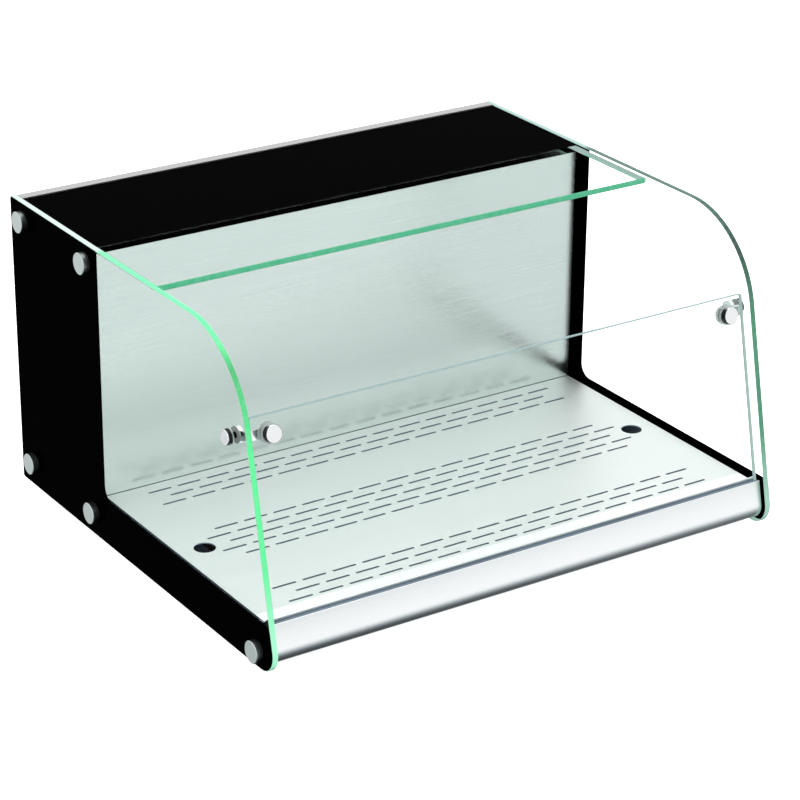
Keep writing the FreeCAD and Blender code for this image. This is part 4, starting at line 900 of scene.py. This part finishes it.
class CASE_OT_top_glass(bpy.types.Operator):
    """Flat top glass and the clear beads that bond it to the side glasses"""

    bl_idname = "display_case.top_glass"
    bl_label = "Top glass"

    def execute(self, context):
        low = (TOP_LOW.x, REAR_Y - TOP_HIGH.y)
        high = (TOP_HIGH.x, REAR_Y - TOP_LOW.y)
        corner = 2.5 * MM
        base = TOP_LOW.z - GROUND_GAP

        def outline(inset):
            return rectangle_outline(inset, low, high, (corner,) * 4)

        def place(ring, depth):
            return in_frame(ring[:, 0], ring[:, 1], base + depth)

        arris_r = context.scene.case_sizes.arris
        piece = plate("top_sheet", outline, TOP_HIGH.z - TOP_LOW.z, arris_r, place,
                      ["top_glass"])
        green = (0.05, 0.40, 0.21)
        edge = glass_edge("glass_edge_top", rear=(0.38, 0.48, 0.46), top=green, crown=green,
                          front=green, nose=green, painted_glow=0.75)
        give(piece, glass_materials(context, edge))
        dress(["silicone_seams"], clear_bead("clear_silicone", (0.80, 0.90, 0.87), 0.25))
        return {"FINISHED"}


class CASE_OT_front_pane(bpy.types.Operator):
    """Low front pane with rounded upper corners, and the seals round the glass"""

    bl_idname = "display_case.front_pane"
    bl_label = "Front pane"

    def execute(self, context):
        foot = np.array(front_point(PANE_INSET, PANE_FOOT_H))
        top = PANE_HIGH.z - GROUND_GAP
        length = (top - PANE_FOOT_H) / math.cos(LEAN)
        up = np.array([-math.sin(LEAN), math.cos(LEAN)])
        small = 1.2 * MM

        def outline(inset):
            radii = (small, PANE_CORNER_R, PANE_CORNER_R, small)
            return rectangle_outline(inset, (-PANE_HALF, 0.0), (PANE_HALF, length), radii)

        def place(ring, depth):
            spot = foot + ring[:, 1:2] * up + depth * LEANING_BACK
            return in_frame(ring[:, 0], spot[:, 0], spot[:, 1])

        piece = plate("pane_sheet", outline, PANE_T, 0.8 * MM, place, ["front_pane"])
        brow = (0.30, 0.38, 0.46)
        sides = (0.27, 0.42, 0.38)
        edge = glass_edge("glass_edge_pane", rear=(0.4, 0.5, 0.5), top=brow, crown=brow,
                          front=sides, nose=sides, painted_glow=0.6)
        give(piece, glass_materials(context, edge))
        colours = context.scene.case_colours
        dress(["pane_gasket"],
              coated("pane_seal", colours.pane_seal, 0.6, 900.0, 0.15, specular=0.3))
        dress(["cap_washers", "glass_gaskets"],
              coated("seal_rubber", colours.rubber, 0.7, 900.0, 0.2, specular=0.3))
        return {"FINISHED"}


class CASE_OT_borders(bpy.types.Operator):
    """Black enamel on the side glasses and on the rear of the top glass"""

    bl_idname = "display_case.borders"
    bl_label = "Black borders"

    def execute(self, context):
        dress(["border_print_right", "border_print_left", "top_print"],
              enamel(context.scene.case_colours))
        return {"FINISHED"}


# ---- metal outside --------------------------------------------------------------------------
def profile_section(radius):
    """Section of the front profile in (s, h): nose, leaning face, pane channel, ramp, ledge."""
    low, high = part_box("front_profile")
    lip = 1.5 * MM
    ledge = 9.5 * MM
    rear_s = REAR_Y - high.y
    foot_h = low.z - GROUND_GAP
    crest_h = high.z - GROUND_GAP
    lip_h = crest_h - lip
    deck_h = DECK_TOP - GROUND_GAP
    ledge_h = deck_h - 1.2 * MM
    gap = 0.8 * MM
    floor_h = PANE_FOOT_H - 1.0 * MM

    def channel(h, back):
        return np.array(front_point(PANE_INSET, h)) + back * LEANING_BACK

    inner_lip = channel(crest_h, PANE_T + gap)[0]
    nose = arc(NOSE_CENTRE, NOSE_R - PROFILE_INSET, -90.0, TILT, 24)
    corners = [
        front_point(PROFILE_INSET, lip_h), (channel(lip_h, -gap)[0], lip_h),
        tuple(channel(floor_h, -gap)), tuple(channel(floor_h, PANE_T + gap)),
        (inner_lip, crest_h), (inner_lip - lip, crest_h), (rear_s + ledge, deck_h),
        (rear_s + ledge, ledge_h), (rear_s, ledge_h), (rear_s, foot_h), (NOSE_CENTRE[0], foot_h),
    ]
    rounded = rounded_section(corners, radius)
    per_corner = len(rounded) // len(corners)
    return np.concatenate([nose, rounded[:-per_corner]])


class CASE_OT_profile(bpy.types.Operator):
    """Front profile with its round nose, and the bright rail along the rear edge"""

    bl_idname = "display_case.profile"
    bl_label = "Profile and rail"

    def execute(self, context):
        section = profile_section(context.scene.case_sizes.profile_round)
        x = np.array([-PROFILE_HALF, PROFILE_HALF])
        points = in_frame(x[:, None], section[None, :, 0], section[None, :, 1]).reshape(-1, 3)
        count = len(section)
        sides = ring_faces(2, count)
        faces = list(sides) + [np.arange(count)[::-1], np.arange(count) + count]
        piece = make_piece("nose_profile", points, faces, "case",
                           ["front_profile"], flat_from=len(sides))
        colours = context.scene.case_colours
        satin = metal("anodised_aluminium", colours.aluminium, 0.30, (4.0, 1500.0, 1500.0),
                      bump=0.03, contrast=0.02)
        give(piece, [satin])
        # Painted shade: the rear rail is the same aluminium, painted at 0.55 of its colour
        dress(["rear_rail"], metal("rail_aluminium_painted_shade", scaled(colours.aluminium, 0.55), 0.34,
                                   (4.0, 1500.0, 1500.0), bump=0.05, contrast=0.06))
        return {"FINISHED"}


def cap_profile(radius, length, rim, reach):
    """Profile (radius, along) of a round cap with its stud: face, rounded rim, side, back, stud."""
    t = np.radians(np.linspace(0.0, 90.0, 8))
    edge = np.stack([radius - rim + rim * np.sin(t), length - rim + rim * np.cos(t)], -1)
    dish = length - TURNED_DISH
    face = np.stack([np.linspace(0.4 * MM, radius - rim - 0.6 * MM, 6), np.full(6, dish)], -1)
    lip = [(radius - rim - 0.25 * MM, dish)]
    cut = STUD_CHAMFER
    rest = [(radius, cut), (radius - cut, 0.0), (STUD_R, 0.0), (STUD_R, -reach + cut),
            (STUD_R - cut, -reach)]
    return np.concatenate([face, lip, edge, rest])


class CASE_OT_caps(bpy.types.Operator):
    """Ten round caps with studs that clamp the side glasses"""

    bl_idname = "display_case.caps"
    bl_label = "Round caps"

    def execute(self, context):
        low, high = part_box("cap_bolts_right")
        base = GLASS_X[1] + 1.0 * MM
        rim = context.scene.case_sizes.cap_round
        profile = cap_profile(CAP_R, high.x - base, rim, base - low.x)
        colours = context.scene.case_colours
        # Painted shade: the caps' sides that face along X are painted dark grey
        finish = turned_metal("satin_steel", colours.satin, 0.34, 0.22 * MM, 0.1, (0.6, 0.2),
                              (0.16, 0.18, 0.18))
        for side, name in ((1.0, "right"), (-1.0, "left")):
            centres = in_frame(side * base, CAP_POINTS[:, 0], CAP_POINTS[:, 1])
            points, faces, uv = lathe(profile, centres, (side, 0, 0), (0, 1, 0))
            piece = make_piece("caps_" + name, points, faces, "case",
                               ["cap_bolts_" + name], uv=uv)
            give(piece, [finish])
        return {"FINISHED"}


class CASE_OT_connectors(bpy.types.Operator):
    """Polished corner connectors between the pane and the side glasses"""

    bl_idname = "display_case.connectors"
    bl_label = "Corner connectors"

    def execute(self, context):
        colours = context.scene.case_colours
        # Painted reflection: near-black painted on the bolts' sides that face along X, standing in
        # for a dark reflected room
        painted_dark_reflection = (0.02, 0.02, 0.02)
        polish = turned_metal("polished_bolts", colours.polished, 0.06, 0.4 * MM, 0.01,
                              (0.25, 0.6), painted_dark_reflection)
        out = np.array([0.0, -math.cos(LEAN), math.sin(LEAN)])
        spot = np.array(front_point(PANE_INSET, CONNECTOR_H))
        head = spot - CONNECTOR_BACK * LEANING_BACK
        x = GLASS_X[0] - CONNECTOR_LEG
        centres = in_frame(np.array([-x, x]), head[0], head[1])
        profile = cap_profile(PANE_BOLT_R, 6.5 * MM, 1.3 * MM, 10.6 * MM)
        points, faces, uv = lathe(profile, centres, out, (1, 0, 0))
        piece = make_piece("pane_bolts", points, faces, "case",
                           ["connector_pane_bolts"], uv=uv)
        give(piece, [polish])
        behind = spot + CONNECTOR_LEG * LEANING_BACK
        base = GLASS_X[1] + CONNECTOR_BACK
        profile = cap_profile(SIDE_BOLT_R, 5.0 * MM, 1.2 * MM, 11.6 * MM)
        parts = []
        for side in (1.0, -1.0):
            centre = in_frame(np.array([side * base]), behind[0], behind[1])
            parts.append(lathe(profile, centre, (side, 0, 0), (0, 1, 0)))
        points = np.concatenate([part[0] for part in parts])
        faces = list(parts[0][1]) + [face + len(parts[0][0]) for face in parts[1][1]]
        uv = np.concatenate([part[2] for part in parts])
        piece = make_piece("side_bolts", points, faces, "case",
                           ["connector_side_bolts"], uv=uv)
        side_polish = turned_metal("side_bolts", colours.polished, 0.08, 0.4 * MM, 0.01,
                                   (0.6, 0.2), painted_dark_reflection)
        give(piece, [side_polish])
        dress(["connector_arm_right", "connector_arm_left"],
              metal("polished_steel", colours.polished, 0.12, (900.0, 900.0, 900.0), bump=0.03,
                    contrast=0.04))
        dress(["connector_washers"], clear_bead("clear_plastic", (0.75, 0.80, 0.80), 0.15))
        return {"FINISHED"}


# ---- inside the case ------------------------------------------------------------------------
class CASE_OT_wall(bpy.types.Operator):
    """Brushed back wall"""

    bl_idname = "display_case.wall"
    bl_label = "Back wall"

    def execute(self, context):
        colours = context.scene.case_colours
        dress(["back_wall"],
              metal("wall_steel", colours.wall, 0.20, (9.0, 9.0, 1300.0), bump=0.3, contrast=0.10))
        return {"FINISHED"}


class CASE_OT_deck(bpy.types.Operator):
    """Perforated stainless deck"""

    bl_idname = "display_case.deck"
    bl_label = "Deck"

    def execute(self, context):
        colours = context.scene.case_colours
        dress(["deck_plate"], deck_steel(colours))
        return {"FINISHED"}


class CASE_OT_casing(bpy.types.Operator):
    """Cheeks, service panel, sheets, tray and insulation"""

    bl_idname = "display_case.casing"
    bl_label = "Casing"

    def execute(self, context):
        colours = context.scene.case_colours
        dress(["cheek_right", "cheek_left", "rear_panel"],
              coated("black_powder", colours.powder, 0.55, 1500.0, 0.35, specular=0.35, wear=0.25,
                     bare=(0.3, 0.3, 0.31)))
        dress(["top_bearer", "chassis_base", "blower_housing"], galvanised(colours))
        dress(["wall_insulation", "base_insulation"], wool(colours))
        dress(["bonding_tape"],
              coated("foam_tape", (0.85, 0.87, 0.86), 0.9, 2200.0, 0.5, specular=0.1))
        # Painted light: tray, heater strips and blower wheel get a lighter blue-grey, nearly
        # non-metallic steel, so the tray seen through the deck's slots reads lit
        dress(["plenum_tray", "heater_supports", "blower_impeller", "sensor_clips"],
              metal("tray_steel", colours.tray, 0.32, (12.0, 1500.0, 700.0),
                    tint=(1.0, 0.95, 0.86), contrast=0.2, metallic=0.15))
        return {"FINISHED"}


class CASE_OT_heating(bpy.types.Operator):
    """Heater, blower motor, sensor bulb and terminal block"""

    bl_idname = "display_case.heating"
    bl_label = "Heating"

    def execute(self, context):
        dress(["heater_element"], heater_sheath(context.scene.case_colours))
        dress(["blower_motor"],
              coated("motor_paint", (0.10, 0.11, 0.12), 0.4, 700.0, 0.15, wear=0.3))
        dress(["sensor_bulb"],
              metal("copper_bulb", (0.72, 0.42, 0.28), 0.3, (60.0, 1500.0, 1500.0), contrast=0.2))
        dress(["terminal_block"], coated("terminal_plastic", (0.70, 0.66, 0.54), 0.5, 900.0, 0.1))
        return {"FINISHED"}


class CASE_OT_controls(bpy.types.Operator):
    """Knob and dial, rocker switch, pilot lamp and reset button"""

    bl_idname = "display_case.controls"
    bl_label = "Controls"

    def execute(self, context):
        colours = context.scene.case_colours
        black = coated("black_plastic", colours.plastic, 0.45, 1800.0, 0.15, wear=0.08,
                       bare=(0.12, 0.12, 0.12))
        dress(["thermostat_knob", "thermostat_body", "rocker_frame", "cutout_body"], black)
        low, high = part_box("thermostat_dial")
        dress(["thermostat_dial"], dial_plate(colours, (low + high) / 2.0))
        dress(["rocker_key"],
              coated("rocker_plastic", colours.plastic, 0.22, 1500.0, 0.03, wear=0.05))
        dress(["pilot_lens"], lamp_lens(colours))
        dress(["pilot_body"],
              metal("lamp_bezel", colours.satin, 0.2, (400.0, 400.0, 400.0), bump=0.05))
        dress(["reset_button"], coated("reset_plastic", colours.reset, 0.3, 1500.0, 0.05))
        return {"FINISHED"}


class CASE_OT_inlet(bpy.types.Operator):
    """Mains inlet with its pins"""

    bl_idname = "display_case.inlet"
    bl_label = "Mains inlet"

    def execute(self, context):
        colours = context.scene.case_colours
        dress(["inlet_body"], coated("inlet_plastic", colours.plastic, 0.5, 1400.0, 0.2, wear=0.05))
        dress(["inlet_pins"],
              metal("contact_brass", (0.74, 0.66, 0.42), 0.25, (300.0, 1200.0, 300.0),
                    contrast=0.1))
        return {"FINISHED"}


class CASE_OT_screws_and_feet(bpy.types.Operator):
    """Zinc screws and rubber feet"""

    bl_idname = "display_case.screws_and_feet"
    bl_label = "Screws and feet"

    def execute(self, context):
        colours = context.scene.case_colours
        dress(["rear_panel_screws", "inlet_screws", "foot_screws"],
              metal("zinc_screw", (0.62, 0.64, 0.66), 0.3, (700.0, 700.0, 700.0), bump=0.08,
                    contrast=0.15))
        feet = ["foot_" + end + "_" + side for end in ("rear", "front") for side in ("left",
                                                                                     "right")]
        dress(feet,
              coated("foot_rubber", colours.rubber, 0.75, 700.0, 0.3, specular=0.25, dust=0.6))
        return {"FINISHED"}


OPERATORS = (
    CASE_OT_stage, CASE_OT_side_glasses, CASE_OT_top_glass, CASE_OT_front_pane, CASE_OT_borders,
    CASE_OT_profile,
    CASE_OT_caps, CASE_OT_connectors, CASE_OT_wall, CASE_OT_deck, CASE_OT_casing, CASE_OT_heating,
    CASE_OT_controls, CASE_OT_inlet, CASE_OT_screws_and_feet,
)


class VIEW3D_PT_display_case(bpy.types.Panel):
    """Lists the operators in the order they are run."""

    bl_idname = "VIEW3D_PT_display_case"
    bl_label = "Display Case"
    bl_space_type = "VIEW_3D"
    bl_region_type = "UI"
    bl_category = "Display Case"

    def draw(self, context):
        for operator in OPERATORS:
            self.layout.operator(operator.bl_idname)


GROUPS = {"case_colours": CaseColours, "case_sizes": CaseSizes, "case_stage": CaseStage}


def register():
    """Register the settings, the operators and the panel."""
    for name, group in GROUPS.items():
        bpy.utils.register_class(group)
        setattr(bpy.types.Scene, name, bpy.props.PointerProperty(type=group))
    for operator in OPERATORS:
        bpy.utils.register_class(operator)
    bpy.utils.register_class(VIEW3D_PT_display_case)


def unregister():
    """Remove everything that register added."""
    bpy.utils.unregister_class(VIEW3D_PT_display_case)
    for operator in reversed(OPERATORS):
        bpy.utils.unregister_class(operator)
    for name, group in GROUPS.items():
        delattr(bpy.types.Scene, name)
        bpy.utils.unregister_class(group)


def main():
    """Build every piece in order."""
    register()
    for operator in OPERATORS:
        area, action = operator.bl_idname.split(".")
        getattr(getattr(bpy.ops, area), action)()


if __name__ == "__main__":
    main()
